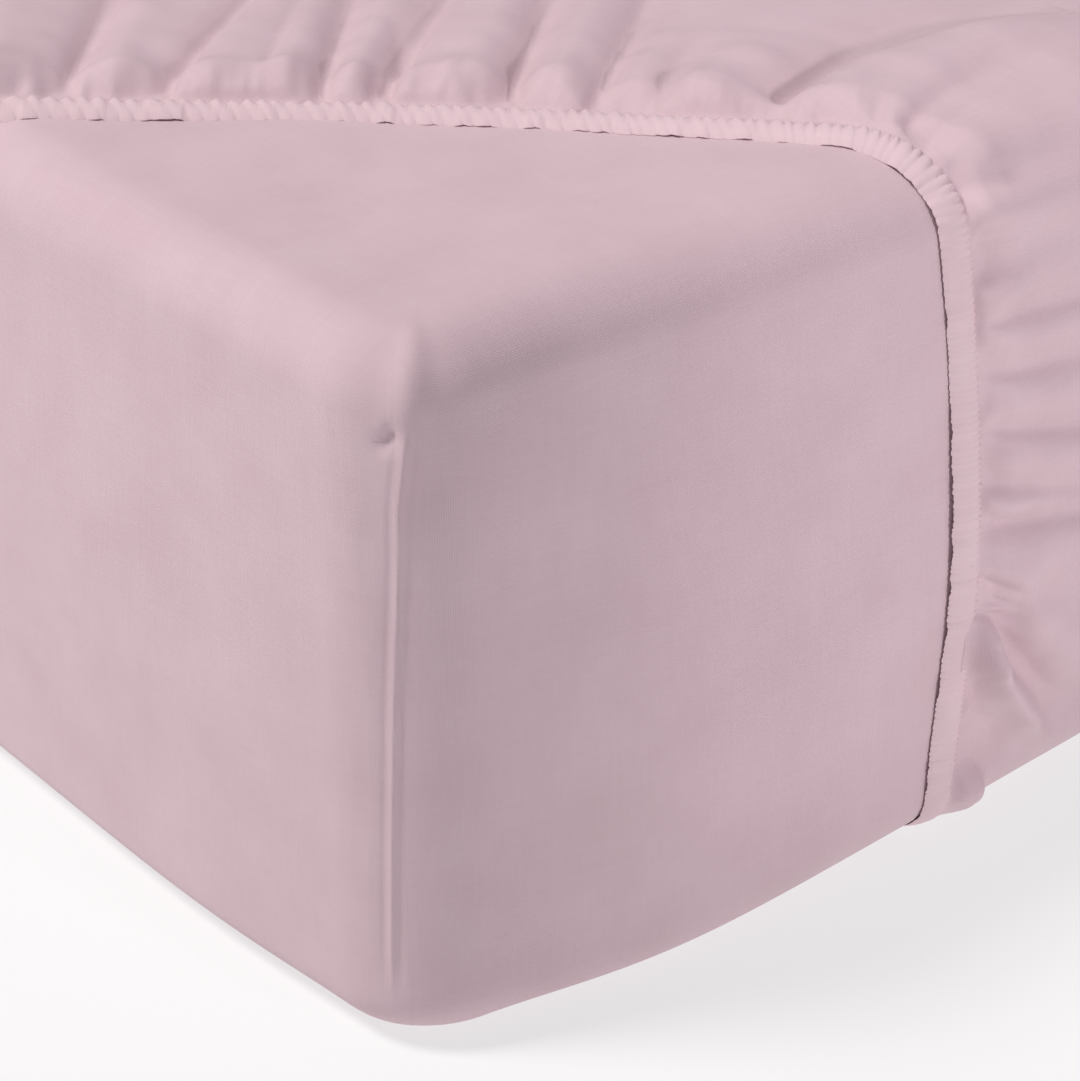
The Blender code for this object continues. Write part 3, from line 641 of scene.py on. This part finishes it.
def hem_line():
    """Fine points of the sprung hem's free edge: the way into the cloth, the place and the bend."""
    ends = [tucked_hem(*end) for end in sprung_ends()]
    picked = [NEAR_CORNER + point for point in SPRUNG_HEM]
    line = smooth_line([ends[0]] + picked + [ends[1]], HEM_SAMPLES)
    length = lengths_along(line)
    crossing = np.where((line[:-1, 1] >= -HALF_LENGTH) & (line[1:, 1] < -HALF_LENGTH))[0][0]
    place = length - length[crossing]
    fine = np.arange(place[0], place[-1], 0.001)
    points = np.stack([np.interp(fine, place, line[:, axis]) for axis in (0, 1)], -1)
    along = np.gradient(points, fine, axis=0)
    kernel = np.hanning(15)
    kernel = kernel / kernel.sum()
    along = np.stack([np.convolve(np.pad(along[:, axis], 7, mode="edge"), kernel, mode="valid")
                      for axis in (0, 1)], -1)
    into_cloth = np.stack((-along[:, 1], along[:, 0]), -1)
    into_cloth /= np.linalg.norm(into_cloth, axis=1)[:, None]
    bend = -np.gradient(np.unwrap(np.arctan2(along[:, 1], along[:, 0])), fine)
    return points, into_cloth, fine, bend


HEM_POINTS, HEM_INWARD, HEM_PLACES, HEM_BEND = hem_line()


def hem_at(place):
    """Free edge point and way into the cloth at places along the sprung hem."""
    point = [np.interp(place, HEM_PLACES, HEM_POINTS[:, axis]) for axis in (0, 1)]
    inward = [np.interp(place, HEM_PLACES, HEM_INWARD[:, axis]) for axis in (0, 1)]
    return np.stack(point, -1), np.stack(inward, -1)


def square_to_hem(x, y):
    """Place along the sprung hem and distance from it, measured square to it."""
    flat_x = np.ravel(x)
    flat_y = np.ravel(y)
    place = np.zeros(len(flat_x))
    distance = np.zeros(len(flat_x))
    for start in range(0, len(flat_x), 4000):
        part = slice(start, start + 4000)
        gap_x = flat_x[part, None] - HEM_POINTS[None, :, 0]
        gap_y = flat_y[part, None] - HEM_POINTS[None, :, 1]
        nearest = np.argmin(gap_x ** 2 + gap_y ** 2, axis=1)
        row = np.arange(len(nearest))
        inward = HEM_INWARD[nearest]
        near_x = gap_x[row, nearest]
        near_y = gap_y[row, nearest]
        distance[part] = near_x * inward[:, 0] + near_y * inward[:, 1]
        fan = np.clip(1.0 + HEM_BEND[nearest] * distance[part], 0.5, None)
        place[part] = HEM_PLACES[nearest] + (near_x * inward[:, 1] - near_y * inward[:, 0]) / fan
    return place.reshape(np.shape(x)), distance.reshape(np.shape(x))


def hem_form(place):
    """Thickness, lifts and pleats of the hem at a place, as named columns."""
    table = np.array(HEM_FORM)
    names = ("thick", "free_lift", "sewn_lift", "pitch", "depth", "slant", "scallop", "join", "slack")
    return {name: np.interp(place, table[:, 0], table[:, column + 1]) for column, name in enumerate(names)}


PLEATS_AT_MOST = 1200
PLEATS_UNEVEN = 0.26            # share of its pitch by which a pleat may lie out of place


def pleat_number(place, share):
    """Which pleat a point of the hem is in, and how far through; share is 0 at the free edge."""
    chance = np.random.default_rng(5)
    step = 0.0005
    fine = np.arange(-1.25, 0.80, step)
    pitch = hem_form(fine)["pitch"]
    steady = np.cumsum(step / pitch)
    out_of_place = chance.uniform(-PLEATS_UNEVEN, PLEATS_UNEVEN, PLEATS_AT_MOST)
    uneven = np.interp(steady, np.arange(PLEATS_AT_MOST), out_of_place)
    leant = place + hem_form(place)["slant"] * (share - 0.5) * HEM_WIDTH
    return np.interp(leant, fine, steady + uneven)


def pleat_size(number, seed, least, most):
    """A steady random size for each pleat."""
    sizes = np.random.default_rng(seed).uniform(least, most, PLEATS_AT_MOST)
    return sizes[np.clip(np.floor(number).astype(int), 0, PLEATS_AT_MOST - 1)]


def plumpness(number):
    """Height across a pleat: round and full, with a narrow valley and its far side steeper."""
    through = (number - np.floor(number)) ** 1.35
    return np.sqrt(np.clip(1.0 - 0.95 * (2.0 * through - 1.0) ** 2, 0.0, 1.0))


def gather_rows():
    """Small tucks along the sprung hem, each a little different: place, lean and sizes."""
    chance = np.random.default_rng(11)
    rows = []
    place = -1.10
    while place < 0.62:
        place += GATHER_PITCH * (0.55 + 0.9 * chance.random())
        length = 0.014 + 0.040 * chance.random() ** 2
        width = 0.0020 + 0.0018 * chance.random()
        height = (0.0013 + 0.0019 * chance.random()) * (1.0 if chance.random() < 0.5 else -1.0)
        lean = 0.40 * (chance.random() - 0.4)
        rows.append((place, lean, width, length, height))
    return rows


def fold_height(place, distance):
    """How far the slack cloth stands off, by place along the hem and distance from it."""
    past_hem = distance - HEM_WIDTH
    form = hem_form(place)
    join = UNDER_SHARE + (form["join"] - UNDER_SHARE) * ramp(past_hem, -0.0012, 0.0024)
    height = (form["sewn_lift"] + form["thick"] * join) * (1.0 - ramp(past_hem, 0.0, 0.030))
    reach = SLACK_LENGTH + (SLACK_LENGTH_LOW - SLACK_LENGTH) * ramp(place, 0.200, 0.080)
    fullness = ramp(past_hem, -0.002, 0.022) * (1.0 - smooth_step(distance / reach))
    height = height + form["slack"] * fullness
    for start_place, lean, width, start, length, rise, bias in FOLDS:
        away = np.clip(distance, 0.0, None)
        across = (place - start_place - lean * distance) / (width * (1.0 + FOLD_SPREAD * away / length))
        across = across * (1.0 + bias * np.sign(across))
        ridge = np.exp(-across ** 2)
        crease = np.exp(1.0 - np.sqrt(1.0 + (2.2 * across) ** 2))
        grown = ramp(distance, start, FOLD_GROWTH)
        faded = 1.0 - smooth_step((distance / length - FOLD_HOLD) / (1.0 - FOLD_HOLD))
        height = height + rise * (ridge if rise > 0.0 else crease) * grown * faded
    for start_place, lean, width, length, rise in gather_rows():
        across = (place - start_place - lean * past_hem) / (width * (1.0 + 1.2 * distance / length))
        faded = ramp(past_hem, -0.003, 0.006) * (1.0 - smooth_step(past_hem / length))
        height = height + rise * np.exp(-across ** 2) * faded
    plump = plumpness(pleat_number(place, 1.0)) - 0.7
    carried = np.exp(-np.clip(past_hem, 0.0, None) / PLEAT_CARRY) * ramp(past_hem, -0.001, 0.003)
    height = height + 0.0012 * form["depth"] * plump * carried
    crumple = unevenness(place, distance, 17, *CRUMPLE_SIZES) * ramp(past_hem, 0.0, 0.010)
    height = height + CRUMPLE * crumple * (1.0 - ramp(distance, 0.0, CRUMPLE_REACH))
    return 0.5 * (height + np.sqrt(height ** 2 + LEAST_STANDOFF ** 2))


SHEET_SEAM = 0.0010             # the sewn corner seams stand out, between two grooves
SHEET_SEAM_WIDTH = 0.0013
SHEET_GROOVE = 0.0005
SHEET_GROOVE_ASIDE = 0.0040
SHEET_GROOVE_WIDTH = 0.0016
SEAM_DRAWN = 0.0007             # ripples that the seam draws into the cloth beside it
SEAM_DRAWN_WIDTH = 0.020
SEAM_DRAWN_PITCH = 0.019
LOW_GATHER = 0.0016             # ripples low down, above the tucked hem
LOW_GATHER_PITCH = 0.043
PULLED_WAVE = 0.0011            # soft waves where the cloth is pulled nearly flat
PULLED_SIZES = (0.120, 0.420)


def fitted_relief(x, y, run, tucked):
    """Corner seams, gathers above the tucked hem and soft waves where the sheet is on."""
    core_x, core_y, normal_x, normal_y, _ = outline_at(x, y)
    turn = np.arctan2(np.abs(normal_y), np.maximum(np.abs(normal_x), TINY)) - math.pi / 4
    in_corner = (np.abs(normal_x) > TINY) & (np.abs(normal_y) > TINY)
    bare = (x < 0.0) & (y < 0.0)
    aside = np.where(in_corner & ~bare, turn * PLAN_RADIUS, 1.0)
    down = ramp(run, 0.0, 0.020)
    groove = SHEET_GROOVE * np.exp(-((np.abs(aside) - SHEET_GROOVE_ASIDE) / SHEET_GROOVE_WIDTH) ** 2)
    seam = down * (SHEET_SEAM * np.exp(-(aside / SHEET_SEAM_WIDTH) ** 2) - groove)
    drawn = SEAM_DRAWN * np.exp(-(aside / SEAM_DRAWN_WIDTH) ** 2)
    drawn = drawn * np.sin(run * math.tau / SEAM_DRAWN_PITCH + aside * 160.0)
    panel_x, panel_y = unrolled(x, y)
    across = np.where(np.abs(normal_x) > np.abs(normal_y), panel_y, panel_x)
    low_down = ramp(run, 0.170, 0.140)
    gathers = (np.sin(across * math.tau / LOW_GATHER_PITCH + 1.3 * np.sin(across * 17.0))
               * (0.6 + 0.4 * np.sin(across * 9.0 + 1.0)))
    gathers = LOW_GATHER * gathers * low_down * (1.0 - ramp(tucked, 0.0, 0.8)) * (run > 0.0)
    pulled = unevenness(x, y, 8, *PULLED_SIZES)
    swell = PULLED_WAVE * pulled * (1.0 - low_down) * ramp(outline_at(x, y)[4], -0.190, 0.100)
    return seam + drawn * down * (1.0 - tucked) + gathers + swell


def cloth_surface(x, y):
    """Points of the sheet's outer face over the pattern."""
    on_mattress, normal, run, tucked = drape(x, y)
    place, distance = square_to_hem(x, y)
    near = ramp(place, HEM_PLACES[0], 0.25) * (1.0 - ramp(place, HEM_PLACES[-1] - 0.20, 0.20))
    slack = fold_height(place, distance) * near
    away = 1.0 - near * (1.0 - ramp(distance, 0.06, 0.22))
    low_down = 1.0 - ramp(on_mattress[..., 2], UNDERSIDE, LOW_DOWN)
    slack = slack * (1.0 - low_down * ramp(distance, *LOW_DRAWN))
    free = 1.0 - smooth_step(tucked / PRESSED)
    clear = CLEAR_TOP + (CLEAR_SIDE - CLEAR_TOP) * edge_share(x, y)
    waves = fitted_relief(x, y, run, tucked) * away
    clear = clear + np.maximum(slack * free + waves, 0.0) + CLOTH
    surface = on_mattress + normal * clear[..., None]
    surface[..., 2] = np.where(tucked > 0.0, np.maximum(surface[..., 2], CLOTH), surface[..., 2])
    return surface


MIDDLE_INSET = 0.200            # columns end on a loop round the flat middle of the bed
MIDDLE_CORNER = 0.060
MIDDLE_BEND = np.array((0.500, 0.420))
PATH_TURNS = (                  # where a column, square to the hem so far, turns to the middle
    # place, distance, shift along foot, shift along long side
    (-1.150, 0.000, 0.150, 0.000),
    (-0.930, 0.020, 0.060, 0.080),
    (-0.820, 0.010, 0.055, 0.090),
    (-0.760, 0.030, 0.030, 0.085),
    (-0.700, 0.110, 0.000, 0.000),
    (-0.400, 0.140, 0.000, 0.000),
    (-0.050, 0.140, 0.000, 0.000),
    (0.240, 0.120, 0.000, 0.000),
    (0.300, 0.070, 0.062, 0.000),
    (0.360, 0.015, 0.118, 0.035),
    (0.420, 0.010, 0.095, 0.045),
    (0.690, 0.000, 0.000, 0.100),
)
TURN_REACH = 0.030              # how far a column carries straight on as it turns
SPRUNG_FADE = 0.360             # rows spread out evenly over this last stretch of the sprung hem
SETTLE_START = (0.14, 0.36)     # beyond this share of their rows neighbouring columns even out
SETTLE_ROUNDS = 120
SHEET_ROWS = 134


def sheet_column_steps(place):
    """Fine columns where the folds show, coarse under the bed."""
    shown = ramp(place, -0.500, 0.050) * (1.0 - ramp(place, 0.290, 0.040))
    bend = ramp(place, -0.100, 0.050) * (1.0 - ramp(place, 0.080, 0.060))
    tucks = ramp(place, 0.158, 0.006) * (1.0 - ramp(place, 0.188, 0.006))
    return 0.0140 - 0.0121 * shown - 0.0006 * bend - 0.0009 * tucks


def fitted_column_steps(around):
    """Columns where the sheet is on: finer round its corners and their seams."""
    off = from_corner(around)
    return 0.0012 + 0.0060 * ramp(off, 0.005, 0.020) + 0.0330 * ramp(off, 0.035, 0.100)


def share_rows(path, far, folded):
    """Row distances along a column: close together in the folds and round the edges."""
    probe = np.linspace(0.60 * HEM_WIDTH, far[-1], 900)
    run, tucked = drape(np.interp(probe, far, path[:, 0]), np.interp(probe, far, path[:, 1]))[2:]
    edge_end = TOP_RADIUS_FOOT * QUARTER_TURN
    on_top_edge = ramp(run, -0.010, 0.010) * (1.0 - ramp(run, edge_end, 0.010))
    on_bottom_edge = (tucked > 0.0) & (tucked < 1.0)
    fold_step = 0.0014 + 0.0012 * ramp(probe, 0.022, 0.020) + 0.0110 * ramp(probe, 0.100, 0.120)
    need = 1.0 / 0.030 + np.maximum(on_top_edge, on_bottom_edge) / 0.0050 + folded / fold_step
    total = np.concatenate(((0.0,), np.cumsum(0.5 * (need[1:] + need[:-1]) * np.diff(probe))))
    return np.interp(np.linspace(0.0, total[-1], SHEET_ROWS), total, probe)


def sheet_columns():
    """Paths on the pattern from the hem to the middle of the bed, once round the sheet."""
    middle_ends = [np.stack(inner_line(*end, MIDDLE_INSET, MIDDLE_CORNER), -1) for end in sprung_ends()]
    turns = np.array(PATH_TURNS)
    places = spread(HEM_PLACES[0], HEM_PLACES[-1], sheet_column_steps)
    columns = []
    curve = np.linspace(0.0, 1.0, 60)[:, None]
    for place in places:
        hem, inward = hem_at(place)
        share = (place - places[0]) / (places[-1] - places[0])
        from_end = min(place - places[0], places[-1] - place)
        sprung = float(smooth_step(from_end / SPRUNG_FADE))
        distance, aside_foot, aside_long = [np.interp(place, turns[:, 0], turns[:, at]) for at in (1, 2, 3)]
        turn = hem + inward * distance + np.array((aside_foot, aside_long))
        bend = turn + (turn - hem) / np.linalg.norm(turn - hem) * TURN_REACH
        weights = ((1 - share) ** 2, 2 * share * (1 - share), share ** 2)
        ways = (middle_ends[0], NEAR_CORNER + MIDDLE_BEND, middle_ends[1])
        middle = sum(weight * way for weight, way in zip(weights, ways))
        path = (1 - curve) ** 2 * turn + 2 * curve * (1 - curve) * bend + curve ** 2 * middle
        columns.append((np.vstack((hem, path)), sprung))
    foot_start = ARC / 2 + SPRUNG_END_FOOT - PLAN_RADIUS
    long_start = ROUND - ARC / 2 - (SPRUNG_END_LONG - PLAN_RADIUS)
    for around in spread(foot_start, long_start, fitted_column_steps)[2:-2]:
        core = [np.asarray(value) for value in round_outline(np.asarray(around))]
        inset = PLAN_RADIUS - side_form(*core)[1]
        edge = np.stack((core[0] + core[2] * inset, core[1] + core[3] * inset), axis=-1)
        middle = np.stack(inner_line(*core, MIDDLE_INSET, MIDDLE_CORNER), -1)
        columns.append((np.array((tucked_hem(*core), edge, middle)), 0.0))
    return columns


def settled(pattern):
    """Columns evened out against their neighbours, away from the hem."""
    weight = ramp(np.linspace(0.0, 1.0, SHEET_ROWS), *SETTLE_START)[:, None, None]
    for _ in range(SETTLE_ROUNDS):
        between = 0.5 * (np.roll(pattern, 1, axis=1) + np.roll(pattern, -1, axis=1))
        pattern = pattern + 0.5 * weight * (between - pattern)
    return pattern


def make_sheet():
    """The cloth from under the hem to the middle of the bed, closed by one flat face there."""
    pattern = []
    for path, folded in sheet_columns():
        far = lengths_along(path)
        rows = share_rows(path, far, folded)
        pattern.append(np.stack([np.interp(rows, far, path[:, axis]) for axis in (0, 1)], -1))
    pattern = settled(np.array(pattern).swapaxes(0, 1))
    surface = cloth_surface(pattern[..., 0], pattern[..., 1])
    panels = np.stack(unrolled(pattern[..., 0], pattern[..., 1]), -1)
    piece = grid_mesh("fitted_sheet_cloth", surface, panels, True, False)
    build = bmesh.new()
    build.from_mesh(piece.data)
    build.verts.ensure_lookup_table()
    columns = pattern.shape[1]
    middle = build.faces.new([build.verts[len(build.verts) - columns + i] for i in range(columns)])
    middle.smooth = True
    build.to_mesh(piece.data)
    build.free()
    return piece


sheet = make_sheet()
sheet.data.materials.append(cotton("percale_sheet", "#d7bec4", "#d0b6bc", 0.80))

# ---- elastic hem ----------------------------------------------------------------------------
# The sheet's edge is turned over a 12 mm elastic and sewn down.  The elastic draws the hem up
# into small pleats: plump and slanting across the top of the bed, fine and nearly flat where
# the hem hangs down the foot side, and pressed flat under the mattress.
HEM_PRESSED = 0.0018
HEM_UNDER = 0.0011              # height of its middle above the floor, where the bed lies on it
FREE_SCALLOP = 0.8              # the free edge is scalloped less than the sewn one
HEM_ROUND = 24                  # points round the hem's section
CREST = 0.58                    # the hem is thickest this far across it
HEM_CLEAR = 0.0001              # its free edge to the cover, on the top
LIFT_UNEVEN = 0.0009            # here and there the free edge stands off the cover
LIFT_SIZES = (0.009, 0.026)


def hem_section():
    """Points round the hem's section: share across from the free edge, and height share.

    Its back rises gently from the low free edge and drops steeply at the stitches.
    """
    angle = np.linspace(0.0, math.tau, HEM_ROUND, endpoint=False)
    across = 0.5 - 0.5 * np.sign(np.cos(angle)) * np.abs(np.cos(angle)) ** 0.75
    rising = np.sin(np.minimum(across / CREST, 1.0) * QUARTER_TURN) ** 0.8
    falling = 1.0 - np.maximum((across - CREST) / (1.0 - CREST), 0.0) ** 4
    return across, np.where(angle < math.pi, 2.0 * rising * falling - 1.0, -1.0)


def hem_column_steps(place):
    """Fine columns along the pleats that show, coarse under the bed."""
    shown = ramp(place, -0.480, 0.030) * (1.0 - ramp(place, 0.300, 0.030))
    return 0.0030 - 0.00245 * shown


def sprung_hem_rings():
    """The hem round the sprung corner: one ring of points for each share across it."""
    places = spread(HEM_PLACES[0], HEM_PLACES[-1], hem_column_steps)
    point, inward = hem_at(places)
    form = hem_form(places)
    rings = []
    uv = []
    for share, height in zip(*hem_section()):
        number = pleat_number(places, share)
        full = plumpness(number) ** (0.5 + 3.0 * share ** 2) * pleat_size(number, 21, 0.75, 1.00)
        deep = 1.0 - form["depth"] * (1.0 - full) * (0.06 + 0.94 * share ** 2.2)
        side = np.where(share > 0.5, 1.0, -FREE_SCALLOP) * abs(2.0 * share - 1.0)
        shift = form["scallop"] * (full - 0.6) * side * pleat_size(number, 22, 0.6, 1.4)
        x = point[:, 0] + inward[:, 0] * (share * HEM_WIDTH + shift)
        y = point[:, 1] + inward[:, 1] * (share * HEM_WIDTH + shift)
        on_mattress, normal, _, tucked = drape(x, y)
        clear = HEM_CLEAR + (CLEAR_SIDE - HEM_CLEAR) * edge_share(x, y) * (0.12 + 0.88 * share)
        stands_off = LIFT_UNEVEN * np.clip(unevenness(places, 0.0, 31, *LIFT_SIZES) + 0.10, 0.0, 1.0)
        lift = (form["free_lift"] + stands_off) * (1.0 - share) + form["sewn_lift"] * share
        pressed = smooth_step(tucked / PRESSED)
        thick = form["thick"] + (HEM_PRESSED - form["thick"]) * pressed
        above = clear + lift * (1.0 - pressed) + thick * (0.5 + 0.5 * height) * deep
        place = on_mattress + normal * above[:, None]
        flat_height = HEM_UNDER + 0.5 * HEM_PRESSED * height * deep
        low_height = np.maximum(place[:, 2], flat_height)
        turning = np.where(tucked > PRESSED, low_height, place[:, 2])
        place[:, 2] = np.where(tucked >= 1.0, flat_height, turning)
        rings.append(place)
        uv.append(np.stack((places, np.full(len(places), share * HEM_WIDTH * 2)), -1))
    return np.array(rings), np.array(uv)


def tucked_hem_rings():
    """The rest of the hem, under the bed, pressed flat."""
    foot_start = ARC / 2 + SPRUNG_END_FOOT - PLAN_RADIUS
    long_start = ROUND - ARC / 2 - (SPRUNG_END_LONG - PLAN_RADIUS)
    around = spread(foot_start, long_start, lambda place: np.full(place.shape, 0.006))[1:-1]
    core = round_outline(around)
    edge = tucked_hem(*core)
    ripple = 0.75 + 0.25 * np.sin(around * math.tau / 0.031 + 2.0 * np.sin(around * 40.0))
    rings = []
    uv = []
    for share, height in zip(*hem_section()):
        x = edge[:, 0] - core[2] * share * HEM_WIDTH
        y = edge[:, 1] - core[3] * share * HEM_WIDTH
        place = drape(x, y)[0]
        place[:, 2] = HEM_UNDER + 0.5 * HEM_PRESSED * height * ripple
        rings.append(place)
        uv.append(np.stack((around, np.full(len(around), share * HEM_WIDTH * 2)), -1))
    return np.array(rings), np.array(uv)


def make_hem():
    """One closed band round the whole sheet."""
    sprung, sprung_uv = sprung_hem_rings()
    tucked, tucked_uv = tucked_hem_rings()
    body = np.concatenate((sprung, tucked), axis=1)
    panels = np.concatenate((sprung_uv, tucked_uv), axis=1)
    body = np.concatenate((body, body[:1]), axis=0)
    panels = np.concatenate((panels, panels[:1]), axis=0)
    piece = grid_mesh("elastic_hem", body[::-1], panels[::-1], True, False)
    build = bmesh.new()
    build.from_mesh(piece.data)
    bmesh.ops.remove_doubles(build, verts=build.verts, dist=1e-7)
    bmesh.ops.recalc_face_normals(build, faces=build.faces)
    build.to_mesh(piece.data)
    build.free()
    return piece


hem = make_hem()
hem.data.materials.append(cotton("percale_hem", "#dfc6cb", "#d9bfc4", 0.80))
for piece in (sheet, hem):
    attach(piece, "root")
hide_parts("fitted_sheet")

# ---- studio ---------------------------------------------------------------------------------
# A matt white floor that glows like a backlit sheet, a soft key light from above the left side, a
# soft spot from in front for the far end of the foot side, and a dim, even surround.
bpy.ops.object.select_all(action="DESELECT")
bpy.ops.mesh.primitive_plane_add(size=30.0, location=(0.0, 0.0, 0.0))
floor = bpy.context.object
floor.name = "studio_floor"
paper = bpy.data.materials.new("matt_white_paper")
paper.use_nodes = True
paper_shader = paper.node_tree.nodes["Principled BSDF"]
paper_shader.inputs["Base Color"].default_value = linear("#969696")
paper_shader.inputs["Roughness"].default_value = 0.9
paper_shader.inputs["Specular IOR Level"].default_value = 0.1
paper_shader.inputs["Emission Color"].default_value = linear("#ffffff")
paper_shader.inputs["Emission Strength"].default_value = 0.64
floor.data.materials.append(paper)


def studio_light(kind, name, place, aim, power, colour):
    """A lamp turned to its aim; the caller sets its size."""
    lamp = bpy.data.lights.new(name, kind)
    lamp.energy = power
    lamp.color = linear(colour)[:3]
    light = bpy.data.objects.new(name, lamp)
    light.location = place
    light.rotation_euler = (Vector(aim) - Vector(place)).to_track_quat("-Z", "Y").to_euler()
    bpy.context.scene.collection.objects.link(light)
    return lamp


key = studio_light("AREA", "key", (-2.30, 0.30, 3.68), (-0.30, -0.80, 0.20), 138.0, "#fffcf9")
key.shape = "DISK"
key.size = 1.1
fill = studio_light("SPOT", "fill", (-0.02, -2.80, 0.95), (-0.13, -1.00, 0.20), 68.0, "#fffafc")
fill.spot_size = math.radians(20.0)
fill.spot_blend = 1.0
fill.shadow_soft_size = 0.12
surround = bpy.data.worlds.new("studio_surround")
surround.use_nodes = True
surround.node_tree.nodes["Background"].inputs["Color"].default_value = linear("#f0ecfb")
surround.node_tree.nodes["Background"].inputs["Strength"].default_value = 0.30
bpy.context.scene.world = surround
bpy.context.scene.view_settings.view_transform = "Standard"

CAMERA_PLACE = Vector((-0.98179, -1.68251, 0.78602))
CAMERA_AIM = Vector((0.56177, 0.64944, -0.51249))
lens = bpy.data.cameras.new("camera")
lens.sensor_fit = "VERTICAL"
lens.sensor_width = 36.0
lens.sensor_height = 36.0
lens.lens = 96.58
lens.clip_start = 0.05
camera = bpy.data.objects.new("camera", lens)
camera.location = CAMERA_PLACE
camera.rotation_euler = CAMERA_AIM.to_track_quat("-Z", "Y").to_euler()
bpy.context.scene.collection.objects.link(camera)
bpy.context.scene.camera = camera
